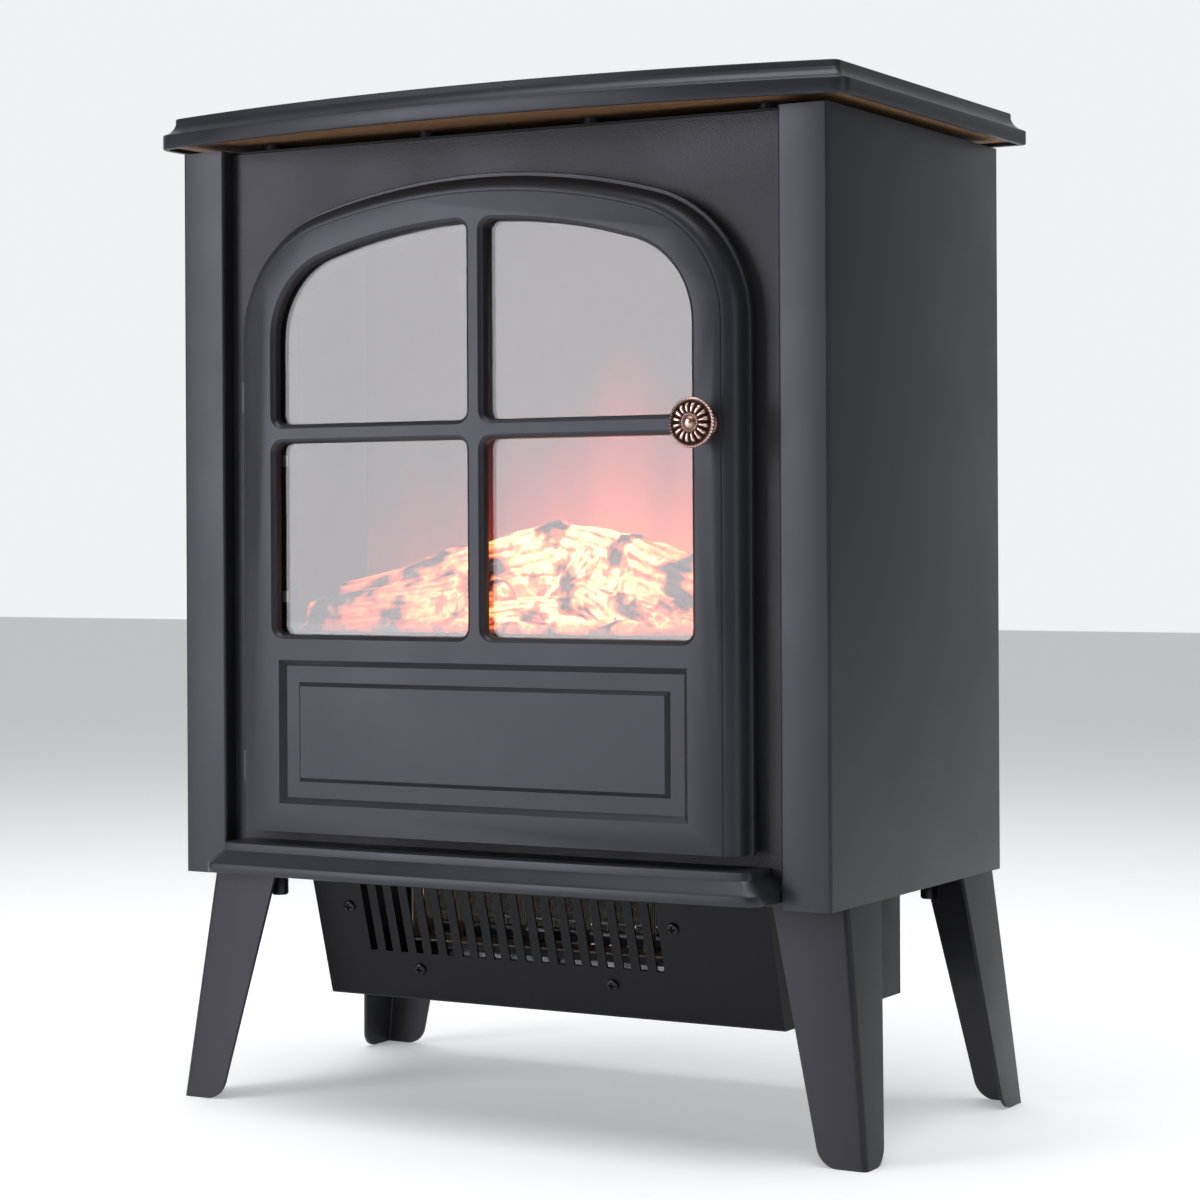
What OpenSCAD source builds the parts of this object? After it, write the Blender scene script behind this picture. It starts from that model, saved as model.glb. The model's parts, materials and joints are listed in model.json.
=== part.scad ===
// Freestanding electric stove heater: sheet-steel body on four splayed legs,
// moulded lid, hearth ledge and arched four-pane door, flame picture inside and
// a fan heater in a box under the body.
// Frame: +Z up, -Y is the front, floor at z = 0, origin under the middle.

/* [Body] */
// width of the sheet-metal body
body_w = 387; // [340:1:470]
// depth of the body, front strips to rear return
body_d = 214; // [200:1:260]
// height of the body shell
body_h = 389.8; // [380:0.1:470]
// ground clearance under the body
leg_h = 125.4; // [100:0.1:160]
// thickness of the folded sheet steel
sheet = 1.2; // [0.8:0.1:1.6]
// width of each front side strip
strip_w = 27.1; // [20:0.1:34]
// how far the front panel sits behind the strips
recess = 8.5; // [6:0.1:12]

/* [Lid] */
// overhang of the lid past the body sides
lid_side = 12; // [8:0.1:16]
// overhang of the lid past the body back
lid_back = 11.4; // [8:0.1:16]
// overhang of the lid at the middle of the front
lid_front = 31.2; // [26:0.1:40]
// how far the lid front bows from corner to middle
lid_bow = 25; // [12:0.1:28]
// gap between body top and lid lip
lid_gap = 2.3; // [1.5:0.1:4]
// height of the lid from lip to top
lid_h = 17.3; // [15:0.1:24]
// wall thickness of the moulded parts
wall = 2.6; // [2:0.1:3.2]

/* [Door] */
// clear strip between door moulding and side strip
door_side_gap = 14.5; // [12:0.1:18]
// door bottom above body bottom
door_bottom = 25.9; // [24:0.1:34]
// door face in front of the side strips
door_proud = 12.5; // [11:0.1:16]
// top of the flat door face under the body top
door_top_gap = 32.8; // [28:0.1:40]
// radius of the arch shoulders of the door face
shoulder_r = 60; // [50:1:66]
// width of the rounded moulding around the face
mould_w = 8.2; // [6:0.1:9]
// width of the flat lip outside the moulding
lip_w = 2.2; // [1.6:0.1:3]
// width of the face between moulding and windows
stile_w = 16.8; // [15:0.1:20]
// bottom of the lower windows above the door bottom
sill_h = 104.1; // [100:0.1:112]
// height of the cross bar centre above the door bottom
bar_z = 210.1; // [200:0.1:220]
// width of the window bars
bar_w = 10; // [8:0.1:14]
// how far the door opens
door_open = 105; // [80:1:105]
// radius of the hinge pins
pin_r = 1.9; // [1.6:0.05:2.1]
// diameter of the door knob rosette
knob_d = 24.8; // [20:0.1:28]

/* [Hearth ledge] */
// front of the ledge before the side strips
ledge_out = 27; // [24:0.1:32]
// height of the ledge
ledge_h = 16; // [14:0.1:18]
// bow of the ledge front
ledge_bow = 4.5; // [2:0.1:6]

/* [Fire] */
// distance from body front to the flame screen
screen_y = 92; // [84:1:98]
// top of the log bed above the body bottom
log_top = 188; // [176:1:196]
// radius of the flame spindle foils
foil_r = 21; // [14:0.5:23]

/* [Heater] */
// height of the heater box under the body
box_h = 70; // [66:0.5:84]
// width of the heater box
box_w = 278; // [270:1:290]
// number of outlet slots
slots = 19; // [11:1:21]
// pitch of the outlet slots
slot_pitch = 9.87; // [9:0.01:10.5]
// width of one outlet slot
slot_w = 4.5; // [3:0.1:5.5]
// sideways shift of the fan unit
fan_x = -17.4; // [-20:0.1:0]
// radius of the blower wheel
wheel_r = 19; // [15:0.5:20]

/* [Legs] */
// width of a leg at the top
leg_top_w = 41; // [36:0.5:44]
// width of a leg at the floor
leg_foot_w = 24; // [20:0.5:30]
// sideways splay of a leg
leg_splay = 14.4; // [8:0.1:16]

/* [Hidden] */
eps = 0.01;
gap = 0.2;                       // between fixed neighbours
run = 0.06;                      // radial running clearance
hw = body_w / 2;
rx = hw - strip_w;               // half width between the strips
yp = recess;                     // front face of the front panel
yr = body_d;                     // back of the body
mid_y = (yr + lid_back - lid_front) / 2;
lip_hw = rx - door_side_gap;     // half width over the door lip
face_hw = lip_hw - lip_w - mould_w;
yf = -door_proud;                // door face
y_lip = -0.5;                    // front of the door lip
y_back = 5.3;                    // back of the door walls
strike_y = y_back - 1.2;         // front of the strike plate
face_top = body_h - door_top_gap;
spring = face_top - 71;
win_hw = face_hw - stile_w;
win_top = face_top - 15;
win_r = shoulder_r - 16;
z_sill = door_bottom + sill_h;
z_bar = door_bottom + bar_z;
bx = bar_w / 2;
hinge_x = -(lip_hw - 8.1);       // door hinge axis
hinge_y = -3.5;
hinge_z = [door_bottom + 34, spring - 30];
magnet_z = z_bar + 36;            // magnet catch above the knob
barrel_r = 3.6;
tab_t = 1.6;                      // thickness of the hinge tabs
tab_play = 0.4;                   // end play between barrel and tab
barrel_h = 16;                    // length of a hinge barrel
open_hw = win_hw - 1.6;          // opening in the front panel
open_top = win_top - 1.6;
open_bot = z_sill + 1.4;
glass_y = yf + 6.5;                // pane in the door, just behind the bars
glass_t = 2.6;
liner_y0 = yp + sheet + gap;
liner_y1 = yr - 60;
liner_hw = open_hw + 14;
floor_z = z_sill - 8;            // floor of the fire chamber
roof_z = open_top + 16;
spin_y = screen_y + foil_r + 6;
spin_z = floor_z + foil_r + 14;
panel_z = [door_bottom + 18, door_bottom + 88];   // control panel
ctl_z = (panel_z[0] + panel_z[1]) / 2;
ctl_y = yp - 2;
sw_x = [-70, -38, -6];
dial_x = [34, 78];
rock = 8;                        // rest tilt of a rocker
dial_r = 13;
dial_y0 = ctl_y - 0.4;
dial_h = 7.6;
slope_y = [39.6, 59.6];          // heater box front at top and bottom
slope_a = atan((slope_y[1] - slope_y[0]) / box_h);
box_back = yr - 11.5;
gland_x = hw - 46;               // cable entry low on the back
gland_z = 44;
gland_r = 3.6;
rear_screw_z = [30, body_h / 2, body_h - 30];
wheel_y = 112;
wheel_z = -box_h / 2 - 1;
wheel_len = 158;
wheel_x0 = fan_x - 84;
thick = 2;                       // leg sheet
$fn = 48;

steel = [0.27, 0.27, 0.30];
plastic = [0.29, 0.30, 0.33];
black = [0.10, 0.10, 0.11];
copper = [0.72, 0.47, 0.36];
zinc = [0.70, 0.70, 0.72];

// ---------- helpers ----------
module place() { translate([0, -mid_y, leg_h]) children(); }
module box(a, b) { translate(a) cube([b[0] - a[0], b[1] - a[1], b[2] - a[2]]); }
// an outline in x and z, made solid from y0 to y1
module slab_y(pts, y0, y1) { translate([0, y1, 0]) rotate([90, 0, 0]) linear_extrude(y1 - y0) polygon(pts); }
// a rod along y, along x
module rod_y(x, z, y0, y1, r) { translate([x, y1, z]) rotate([90, 0, 0]) cylinder(h = y1 - y0, r = r); }
module rod_x(y, z, x0, x1, r) { translate([x0, y, z]) rotate([0, 90, 0]) cylinder(h = x1 - x0, r = r); }
// the closed skin over a stack of rings with the same number of points
module skin(rings) {
  n = len(rings[0]);
  m = len(rings);
  pts = [for (r = rings) for (p = r) p];
  side = [for (k = [0:m - 2]) for (i = [0:n - 1]) let (j = (i + 1) % n)
    [k * n + i, k * n + j, (k + 1) * n + j, (k + 1) * n + i]];
  polyhedron(points = pts, faces = concat([[for (i = [n - 1:-1:0]) i]], side,
    [[for (i = [0:n - 1]) (m - 1) * n + i]]), convexity = 8);
}
function rect(x0, z0, x1, z1) = [[x0, z0], [x1, z0], [x1, z1], [x0, z1]];
function rrect(x0, z0, x1, z1, r, n = 5) = concat(
  [for (i = [0:n]) [x1 - r + r * cos(-90 + 90 * i / n), z0 + r + r * sin(-90 + 90 * i / n)]],
  [for (i = [0:n]) [x1 - r + r * cos(90 * i / n), z1 - r + r * sin(90 * i / n)]],
  [for (i = [0:n]) [x0 + r + r * cos(90 + 90 * i / n), z1 - r + r * sin(90 + 90 * i / n)]],
  [for (i = [0:n]) [x0 + r + r * cos(180 + 90 * i / n), z0 + r + r * sin(180 + 90 * i / n)]]);
// radius of the flat top arc that meets two shoulders of radius rs
function arc_R(w, top, zs, rs) = let (a = w - rs, h = top - zs) (a * a + h * h - rs * rs) / (2 * (h - rs));
// an arched outline: straight sides, round shoulders, flat top arc; o moves it outward
function arch(w, top, zs, rs, zb, o = 0, n = 16) =
  let (R = arc_R(w, top, zs, rs), zc = top - R, a = w - rs, t = atan2(zs - zc, a)) concat(
    [[w + o, zb]],
    [for (i = [0:n]) [a + (rs + o) * cos(t * i / n), zs + (rs + o) * sin(t * i / n)]],
    [for (i = [1:n]) let (u = t + (180 - 2 * t) * i / n) [(R + o) * cos(u), zc + (R + o) * sin(u)]],
    [for (i = [1:n]) let (u = 180 - t + t * i / n) [-a + (rs + o) * cos(u), zs + (rs + o) * sin(u)]],
    [[-w - o, zb]]);
// the same outline as a ring at depth y
function ring_y(pts, y) = [for (p = pts) [p[0], y, p[1]]];
function ring_z(pts, z) = [for (i = [len(pts) - 1:-1:0]) [pts[i][0], pts[i][1], z]];
// upper right window, grown by o; s = -1 mirrors it
function win_up(o, s = 1, n = 6) =
  let (r = 5 + o, m = bx - o, b = z_bar + bx - o, R = arc_R(win_hw, win_top, spring, win_r), zc = win_top - R,
       a = win_hw - win_r, t = atan2(spring - zc, a), RR = R + o,
       fx = m + r, fz = zc + sqrt((RR - r) * (RR - r) - fx * fx), u = atan2(fz - zc, fx),
       p = concat(
         [for (i = [0:n]) [win_hw + o - r + r * cos(-90 + 90 * i / n), b + r + r * sin(-90 + 90 * i / n)]],
         [for (i = [0:2 * n]) let (v = t * i / (2 * n), q = win_r + o) [a + q * cos(v), spring + q * sin(v)]],
         [for (i = [1:n]) [RR * cos(t + (u - t) * i / n), zc + RR * sin(t + (u - t) * i / n)]],
         [for (i = [1:n]) [fx + r * cos(u + (180 - u) * i / n), fz + r * sin(u + (180 - u) * i / n)]],
         [for (i = [0:n]) [m + r + r * cos(180 + 90 * i / n), b + r + r * sin(180 + 90 * i / n)]]))
  s > 0 ? p : [for (i = [len(p) - 1:-1:0]) [-p[i][0], p[i][1]]];
function win_low(o, s = 1) =
  let (p = rrect(bx - o, z_sill - o, win_hw + o, z_bar - bx + o, 5 + o))
  s > 0 ? p : [for (i = [len(p) - 1:-1:0]) [-p[i][0], p[i][1]]];
// a bowed plan outline: straight sides and back, bowed front with round corners
function bowed(w, yb, yc, bow, r, n = 28) =
  let (R = (w * w + bow * bow) / (2 * bow), zc = yc + R,
       cx = w - r, cy = zc - sqrt((R - r) * (R - r) - cx * cx), u = atan2(cy - zc, cx)) concat(
    [[w, yb]], [[-w, yb]],
    [for (i = [0:5]) let (v = 180 - u * i / 5) [-cx + r * cos(v), cy + r * sin(v)]],
    [for (i = [1:n - 1]) let (v = 180 - u + (2 * u + 180) * i / n) [R * cos(v), zc + R * sin(v)]],
    [for (i = [0:5]) let (v = u + (0 - u) * i / 5) [cx + r * cos(v), cy + r * sin(v)]]);
// countersunk-free pan head screw pointing along +z from a head below z = 0
module pan_screw(l, r = 1.5, h = 2) {
  translate([0, 0, -eps]) cylinder(h = l, r = r, $fn = 24);
  difference() {
    translate([0, 0, -h]) rotate_extrude($fn = 32)
      polygon([[0, 0], [r * 1.1, 0.15 * h], [r * 1.9, 0.5 * h], [r * 2.2, h], [0, h]]);
    translate([-r * 1.2, -0.35, -h - eps]) cube([r * 2.4, 0.7, 0.9]);
    translate([-0.35, -r * 1.2, -h - eps]) cube([0.7, r * 2.4, 0.9]);
  }
}

// ---------- body ----------
module wrap() {
  // plan path of the folded side sheet, right-hand side
  difference() {
    linear_extrude(body_h) union() {
      translate([rx, 0]) square([strip_w, sheet]);
      translate([rx, 0]) square([sheet, recess - gap]);
      translate([hw - sheet, 0]) square([sheet, yr]);
      translate([hw - 17, yr - sheet]) square([17, sheet]);
    }
    for (z = rear_screw_z) rod_y(hw - 9, z, yr - 5, yr + 5, 1.7);
  }
}
module side_wrap_right() { color(steel) place() wrap(); }
module side_wrap_left() { color(steel) place() mirror([1, 0, 0]) wrap(); }
module front_panel() {
  color(steel) place() difference() {
    union() {
      box([-rx - 18, yp, 0], [rx + 18, yp + sheet, body_h - sheet - gap]);
      for (x = [-rx - 17.4, rx + 17.4]) box([x - 0.6, yp, 0], [x + 0.6, yp + 11, body_h - sheet - gap]);
    }
    slab_y(arch(open_hw, open_top, spring, win_r - 1.6, open_bot), yp - 5, yp + 5);
    slab_y(rect(-108, panel_z[0] + 4, 108, panel_z[1] - 4), yp - 5, yp + 5);
    rod_y(face_hw - 4, magnet_z, yp - 5, yp + 5, 1.6);
  }
}
module rear_slot(x, z, w) { box([x - w / 2, yr - 9, z], [x + w / 2, yr + 3, z + 4]); }
module rear_panel() {
  color(steel) place() difference() {
    box([-hw + sheet + gap, yr - 2 * sheet - gap, 0],
      [hw - sheet - gap, yr - sheet - gap, body_h - sheet - gap]);
    // louvres: two blocks for the light box, one for the fan
    for (s = [-1, 1]) for (i = [0:8]) rear_slot(s * 80, 250 + i * 9, 90);
    for (i = [0:6]) rear_slot(0, 60 + i * 9, 120);
    rod_y(gland_x, gland_z, yr - 9, yr + 3, 8.2);
    for (s = [-1, 1]) for (z = rear_screw_z) rod_y(s * (hw - 9), z, yr - 9, yr + 3, 1.4);
  }
}
module base_plate() {
  color(steel) place() difference() {
    union() {
      box([-hw + sheet + gap, yp + 12, 0], [hw - sheet - gap, yr - 2 * sheet - 2 * gap, sheet]);
      box([-rx - 16, yp + sheet + gap, 0], [rx + 16, yp + 13, sheet]);
    }
    box([-box_w / 2 + 20, 62, -1], [box_w / 2 - 20, 190, 5]);
    for (s = [-1, 1]) for (d = [-1, 1])
      translate([s * leg_hole(d)[0], leg_hole(d)[1], -1]) cylinder(h = 4, r = 2.2);
  }
}
lid_bolts = [for (x = [-150, -50, 50, 150]) for (y = [24, yr - 24]) [x, y]];
module top_frame() {
  color(black) place() difference() {
    box([-hw + sheet + gap, yp + gap, body_h - sheet], [hw - sheet - gap, yr - sheet - gap, body_h]);
    box([-hw + 40, 46, body_h - 5], [hw - 40, yr - 46, body_h + 5]);
    for (p = lid_bolts) translate([p[0], p[1], body_h - 5]) cylinder(h = 10, r = 1.7, $fn = 24);
  }
}

// ---------- lid ----------
lz0 = body_h + lid_gap;
lz1 = lz0 + lid_h;
lid_hw = hw + lid_side;
// outline of the lid, moved in by o, at height z
function lid_ring(o, z) = let (w = lid_hw - o)
  ring_z(bowed(w, yr + lid_back - o, -lid_front + o, lid_bow * w / lid_hw, 9 - min(o, 5)), z);
module top_lid() {
  color(plastic) place() {
    difference() {
      skin([lid_ring(1.3, lz0), lid_ring(0.4, lz0 + 0.5), lid_ring(0, lz0 + 1.4), lid_ring(0, lz0 + 7.6),
        lid_ring(0.5, lz0 + 8.2), lid_ring(2.6, lz0 + 9.2),
        lid_ring(4.6, lz0 + 10.9), lid_ring(6, lz0 + 13.4),
        lid_ring(6.2, lz0 + 13.8), lid_ring(6.2, lz1 - 0.7), lid_ring(6.9, lz1)]);
      skin([lid_ring(wall + 0.6, lz0 - 1), lid_ring(wall + 0.4, lz0 + 4.6), lid_ring(6.2 + wall, lz0 + 9.4),
        lid_ring(6.4 + wall, lz1 - wall)]);
    }
    // standoffs down to the top frame, with pilot holes
    for (p = lid_bolts) translate([p[0], p[1], body_h + 0.05]) difference() {
      cylinder(h = lz1 - wall + 0.3 - body_h, r = 5);
      translate([0, 0, -1]) cylinder(h = 12, r = 1.45, $fn = 24);
    }
  }
}
module lid_liner() {
  color([0.45, 0.30, 0.18]) place() difference() {
    skin([lid_ring(wall + 1.2, lz0 + 2.2), lid_ring(wall + 1.2, lz0 + 4.2)]);
    for (p = lid_bolts) translate([p[0], p[1], lz0]) cylinder(h = 8, r = 5.3);
  }
}
module lid_screws() {
  color(black) place() for (p = lid_bolts)
    translate([p[0], p[1], body_h - sheet - gap]) pan_screw(11, 1.35, 2.2);
}
module rear_screws() {
  color(black) place() for (s = [-1, 1]) for (z = rear_screw_z)
    translate([s * (hw - 9), yr + gap, z]) rotate([90, 0, 0]) pan_screw(8, 1.3, 2);
}

// ---------- hearth ledge ----------
le0 = 3.2;
function led_ring(w, out, z, r) = ring_z(bowed(w, yp - gap, -out, ledge_bow * w / rx, r), z);
module hearth_ledge() {
  color(plastic) place() {
    difference() {
      skin([led_ring(rx - 1.4, ledge_out - 0.9, le0, 8), led_ring(rx - 0.5, ledge_out, le0 + 0.8, 9),
        led_ring(rx - 0.5, ledge_out, le0 + 4.7, 9), led_ring(rx - 1.2, ledge_out - 0.7, le0 + 5.5, 8.4),
        led_ring(rx - 5.4, ledge_out - 4.4, le0 + 9, 6), led_ring(rx - 8.2, ledge_out - 6.2, le0 + 11.2, 5),
        led_ring(rx - 8.6, ledge_out - 6.4, le0 + 11.6, 5),
        led_ring(rx - 8.6, ledge_out - 6.4, le0 + ledge_h - 0.9, 5),
        led_ring(rx - 9.5, ledge_out - 7.3, le0 + ledge_h, 4.4)]);
      skin([led_ring(rx - 0.5 - wall, ledge_out - wall, le0 - 1, 6.4),
        led_ring(rx - 0.5 - wall, ledge_out - wall, le0 + 3.6, 6.4),
        led_ring(rx - 9.6 - wall, ledge_out - 7.4 - wall, le0 + ledge_h - wall, 3.6)]);
    }
    // back wall against the front panel with four screw posts
    box([-rx + 12, yp - gap - wall, le0], [rx - 12, yp - gap, le0 + ledge_h - 1]);
    for (x = [-140, -48, 48, 140]) rod_y(x, le0 + 7, -12, yp - gap - 0.1, 3.2);
  }
}

// ---------- door ----------
// clip bosses: two beside each edge of the pane and one over its top
clip_x = win_hw + 9.5;
clip_pts = [[-clip_x, z_sill + 20], [-clip_x, z_bar - 14], [clip_x, z_sill + 20], [clip_x, z_bar - 17],
  [0, win_top + 7]];
// rings of the outer skin, front to back: face, small step, rounded moulding, lip, inset back wall
function dr(o, y) = ring_y(arch(face_hw, face_top, spring, shoulder_r, door_bottom, o), y);
function ovolo(t) = [mould_w * sin(t), yf + 0.8 + (y_lip - yf - 0.8) * (1 - cos(t))];
head_h = 0.9;                    // head of a hinge pin
// height of the underside of the lower and the upper hinge tab
function tab_z(k) = hinge_z[k] + (k == 0 ? -barrel_h / 2 - tab_t - tab_play : barrel_h / 2 + tab_play);
module door_skin() {
  skin(concat([dr(-0.9, yf), dr(-0.2, yf + 0.25), dr(0, yf + 0.8)],
    [for (t = [9:9:90]) dr(ovolo(t)[0], ovolo(t)[1])],
    [dr(mould_w + lip_w - 0.4, y_lip + 0.08), dr(mould_w + lip_w, y_lip + 0.5),
     dr(mould_w + lip_w, y_lip + 3.4),
     dr(mould_w - 0.6, y_lip + 3.6), dr(mould_w - 0.6, y_back)]));
}
module door_hollow() {
  b = door_bottom + wall;
  f = function (o, y) ring_y(arch(face_hw, face_top, spring, shoulder_r, b, o), y);
  skin([f(-3.2, yf + 3.2), f(0.2, yf + 4.2), f(mould_w - 4.6, yf + 6.8), f(mould_w - 3.0, yf + 9.4),
    f(mould_w - 2.6, y_lip), f(mould_w - 2.6, y_back + 1)]);
}
// offset and depth of the rounded front edge of a window
win_edge = [[2.5, -0.2], [2.3, eps], [1.3, 0.5], [0.4, 1.5], [-0.05, 2.6]];
module win_tubes(o, y0, y1) {
  for (s = [-1, 1]) { slab_y(win_up(o, s), y0, y1); slab_y(win_low(o, s), y0, y1); }
}
// half width, bottom and top of the decorative lower panel
px0 = win_hw - 2.4;
pz0 = door_bottom + 14.9;
pz1 = z_sill - 13.3;
function panel_ring(o, y) = ring_y(rect(-px0 + o, pz0 + o, px0 - o, pz1 - o), yf + y);
function field_ring(o, y) = ring_y(rect(-px0 + o, pz0 + o + 0.7, px0 - o, pz1 - o - 0.7), yf + y);
module door_shell() {
  color(plastic) place() difference() {
    union() {
      difference() { door_skin(); door_hollow(); }
      win_tubes(wall - 0.3, yf + 2.6, glass_y - 0.1);
      for (p = clip_pts) difference() {
        rod_y(p[0], p[1], yf + 2.6, glass_y + glass_t, 2.7);
        rod_y(p[0], p[1], yf + 3.4, glass_y + glass_t + 1, 1.25);
      }
      box([-px0 - 3, yf + 2.6, pz0 - 3], [px0 + 3, yf + 6.2, pz1 + 3]);
      // hinge barrels, knob boss, strike pads and stiffening ribs
      for (z = hinge_z) difference() {
        union() {
          translate([hinge_x, hinge_y, z - barrel_h / 2]) cylinder(h = barrel_h, r = barrel_r);
          box([hinge_x - 3.4, yf + 2.6, z - barrel_h / 2], [hinge_x + 3.4, hinge_y, z + barrel_h / 2]);
        }
        translate([hinge_x, hinge_y, z - barrel_h]) cylinder(h = 2 * barrel_h, r = pin_r + run);
      }
      rod_y(win_hw + stile_w / 2, z_bar, yf + 2.6, y_back - 3, 4.6);
      for (z = [magnet_z - 9, magnet_z + 9])
        box([face_hw - 8.6, yf + 2.6, z - 1.2], [face_hw + 2, strike_y - 0.1, z + 1.2]);
      for (x = [-60, 0, 60]) box([x - 1.2, yf + 2.6, door_bottom + 1], [x + 1.2, yf + 8, pz0]);
    }
    win_tubes(0, yf - 1, y_back + 1);
    // rounded front edges of the windows
    for (s = [-1, 1]) {
      skin([for (e = win_edge) ring_y(win_up(e[0], s), yf + e[1])]);
      skin([for (e = win_edge) ring_y(win_low(e[0], s), yf + e[1])]);
    }
    // lower panel: a sunk border round a raised field
    difference() {
      skin([panel_ring(-0.2, -0.2), panel_ring(3.2, 3.2)]);
      skin([field_ring(13.2, 1), field_ring(10.8, 3.4)]);
    }
    // room for the hinge tabs and the pin heads as the door swings
    for (k = [0, 1])
      let (lo = tab_z(k) - 0.6 - (k == 0 ? head_h : 0), hi = lo + tab_t + head_h + 1.2) {
      intersection() {
        translate([hinge_x, hinge_y, lo]) cylinder(h = hi - lo, r = 14);
        box([hinge_x - 20, hinge_y - 4.2, lo], [hinge_x + 20, y_back + 9, hi]);
      }
      translate([hinge_x, hinge_y, lo]) cylinder(h = hi - lo, r = barrel_r + 0.4);
    }
    // knob screw hole
    rod_y(win_hw + stile_w / 2, z_bar, yf - 1, y_back + 1, 2.1);
  }
}
module at_knob() { translate([win_hw + stile_w / 2, 0, z_bar]) children(); }
kr = knob_d / 2;
module door_knob() {
  color(copper) place() at_knob() {
    difference() {
      // base flange, neck and dished rosette turned about the y axis
      translate([0, yf - gap / 4, 0]) rotate([90, 0, 0]) rotate_extrude($fn = 64)
        polygon([[0, 0], [6.8, 0], [7.0, 0.7], [6.6, 1.5], [5.0, 2.6], [4.1, 4.2], [4.0, 6.2], [4.6, 8.4],
          [6.4, 10.6], [9.2, 12.2], [kr - 0.9, 13], [kr - 0.1, 13.5], [kr, 14.1], [kr - 0.3, 14.9],
          [kr - 1, 15.2],
          [kr - 1.6, 14.9], [kr - 2.2, 15.4], [8.2, 16.4], [5.4, 16.5], [4.9, 16.9], [4.6, 16.6], [3.4, 16.6],
          [3.2, 17.1], [2.4, 17.9], [1.2, 18.35], [0, 18.5]]);
      rod_y(0, 0, yf - 11, yf + 1, 1.5);
    }
    // petals
    for (a = [0:22.5:359]) rotate([0, a, 0]) translate([7.8, yf - 15.9, 0])
      scale([2.3, 0.8, 1.1]) sphere(r = 1, $fn = 16);
  }
}
module knob_screw() {
  color(zinc) place() at_knob()
    translate([0, y_back - 3 + gap, 0]) rotate([90, 0, 0]) pan_screw(22, 1.45, 2.2);
}
module hinge_tabs() {
  // each tab: a leaf round the pin and a flange welded to the front panel
  color(zinc) place() for (k = [0, 1]) let (z0 = tab_z(k), f0 = k == 0 ? z0 - 10 : z0) {
    difference() {
      union() {
        translate([hinge_x, hinge_y, z0]) cylinder(h = tab_t, r = 3.5);
        box([hinge_x - 1.2, hinge_y, z0], [hinge_x + 3.5, yp - 0.1, z0 + tab_t]);
        box([hinge_x - 3.5, yp - 1.1, f0], [hinge_x + 3.5, yp - 0.1, f0 + 10 + tab_t]);
      }
      translate([hinge_x, hinge_y, z0 - 1]) cylinder(h = tab_t + 2, r = pin_r + 0.02);
    }
  }
}
module hinge_pins() {
  pin_l = barrel_h - 2 + tab_t + tab_play;
  color(zinc) place() for (k = [0, 1]) let (z0 = k == 0 ? tab_z(0) : tab_z(1) + tab_t - pin_l) {
    translate([hinge_x, hinge_y, z0]) cylinder(h = pin_l, r = pin_r);
    translate([hinge_x, hinge_y, k == 0 ? z0 - head_h : z0 + pin_l]) cylinder(h = head_h, r = pin_r + 1);
  }
}
module door_magnet() {
  color(black) place() {
    box([face_hw - 9, y_back, magnet_z - 8], [face_hw + 1, yp - 0.1, magnet_z + 8]);
    rod_y(face_hw - 4, magnet_z, yp - 0.2, liner_y0 + 0.8, 1.4);
  }
}
module strike_plate() {
  color(zinc) place()
    box([face_hw - 9.5, strike_y, magnet_z - 12], [face_hw - 1.4, strike_y + 0.8, magnet_z + 12]);
}

// ---------- glass and fire chamber ----------
module glass_pane() {
  color([0.8, 0.85, 0.9, 0.3]) place()
    slab_y(arch(win_hw, win_top, spring, win_r, z_sill - 3, 3), glass_y, glass_y + glass_t);
}
// flat clips screwed to bosses of the door, their tips behind the pane's edge
module glass_clips() {
  y0 = glass_y + glass_t + 0.1;
  color(zinc) place() for (p = clip_pts) let (in = p[0] == 0 ? [0, -1] : [-sign(p[0]), 0], q = p + in * 9.5)
    difference() {
      box([min(p[0], q[0]) - 3, y0, min(p[1], q[1]) - 3],
        [max(p[0], q[0]) + 3, y0 + 0.8, max(p[1], q[1]) + 3]);
      rod_y(p[0], p[1], y0 - 1, y0 + 2, 1.5);
    }
}
module clip_screws() {
  color(zinc) place() for (p = clip_pts)
    translate([p[0], glass_y + glass_t + 1, p[1]]) rotate([90, 0, 0]) pan_screw(glass_t + 2.4, 1.2, 1.6);
}
ly0 = liner_y0 + 1.2;
module firebox_liner() {
  color(black) place() difference() {
    union() {
      for (s = [-1, 1]) box([s * liner_hw - 0.5, ly0, floor_z], [s * liner_hw + 0.5, liner_y1, roof_z]);
      box([-liner_hw, ly0, roof_z - 1], [liner_hw, liner_y1, roof_z]);
      box([-liner_hw, ly0, floor_z], [liner_hw, liner_y1, floor_z + 1]);
      box([-liner_hw, liner_y1 - 1, floor_z], [liner_hw, liner_y1, roof_z]);
    }
    rod_x(spin_y, spin_z, -liner_hw - 5, liner_hw + 5, 4);
  }
}
// translucent log bed: a moulded tray with logs across it
fb = floor_z + 1 + gap;
lt = log_top - fb;
module log(a, b, r) {
  v = b - a;
  l = norm(v);
  translate(a) rotate([0, acos(v[2] / l), atan2(v[1], v[0])]) cylinder(h = l, r = r, $fn = 10);
}
module fuel_bed() {
  color([1, 0.45, 0.12]) place() {
    box([-liner_hw + 4, ly0 + 4, fb], [liner_hw - 4, screen_y - 4, fb + 8]);
    log([-116, 38, fb + 15], [20, 66, fb + lt - 16], 12.5);
    log([118, 40, fb + 17], [-6, 70, fb + lt - 14.5], 13);
    log([-104, 72, fb + 17.5], [114, 67, fb + 27], 12);
    log([-70, 34, fb + 12.5], [-12, 48, fb + 24], 10);
    log([90, 33, fb + 13], [24, 46, fb + 25], 10.5);
  }
}
module flame_screen() {
  color([0.9, 0.85, 0.8, 0.6]) place()
    box([-liner_hw + 1, screen_y, fb], [liner_hw - 1, screen_y + 2.5, roof_z - 2]);
}
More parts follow.
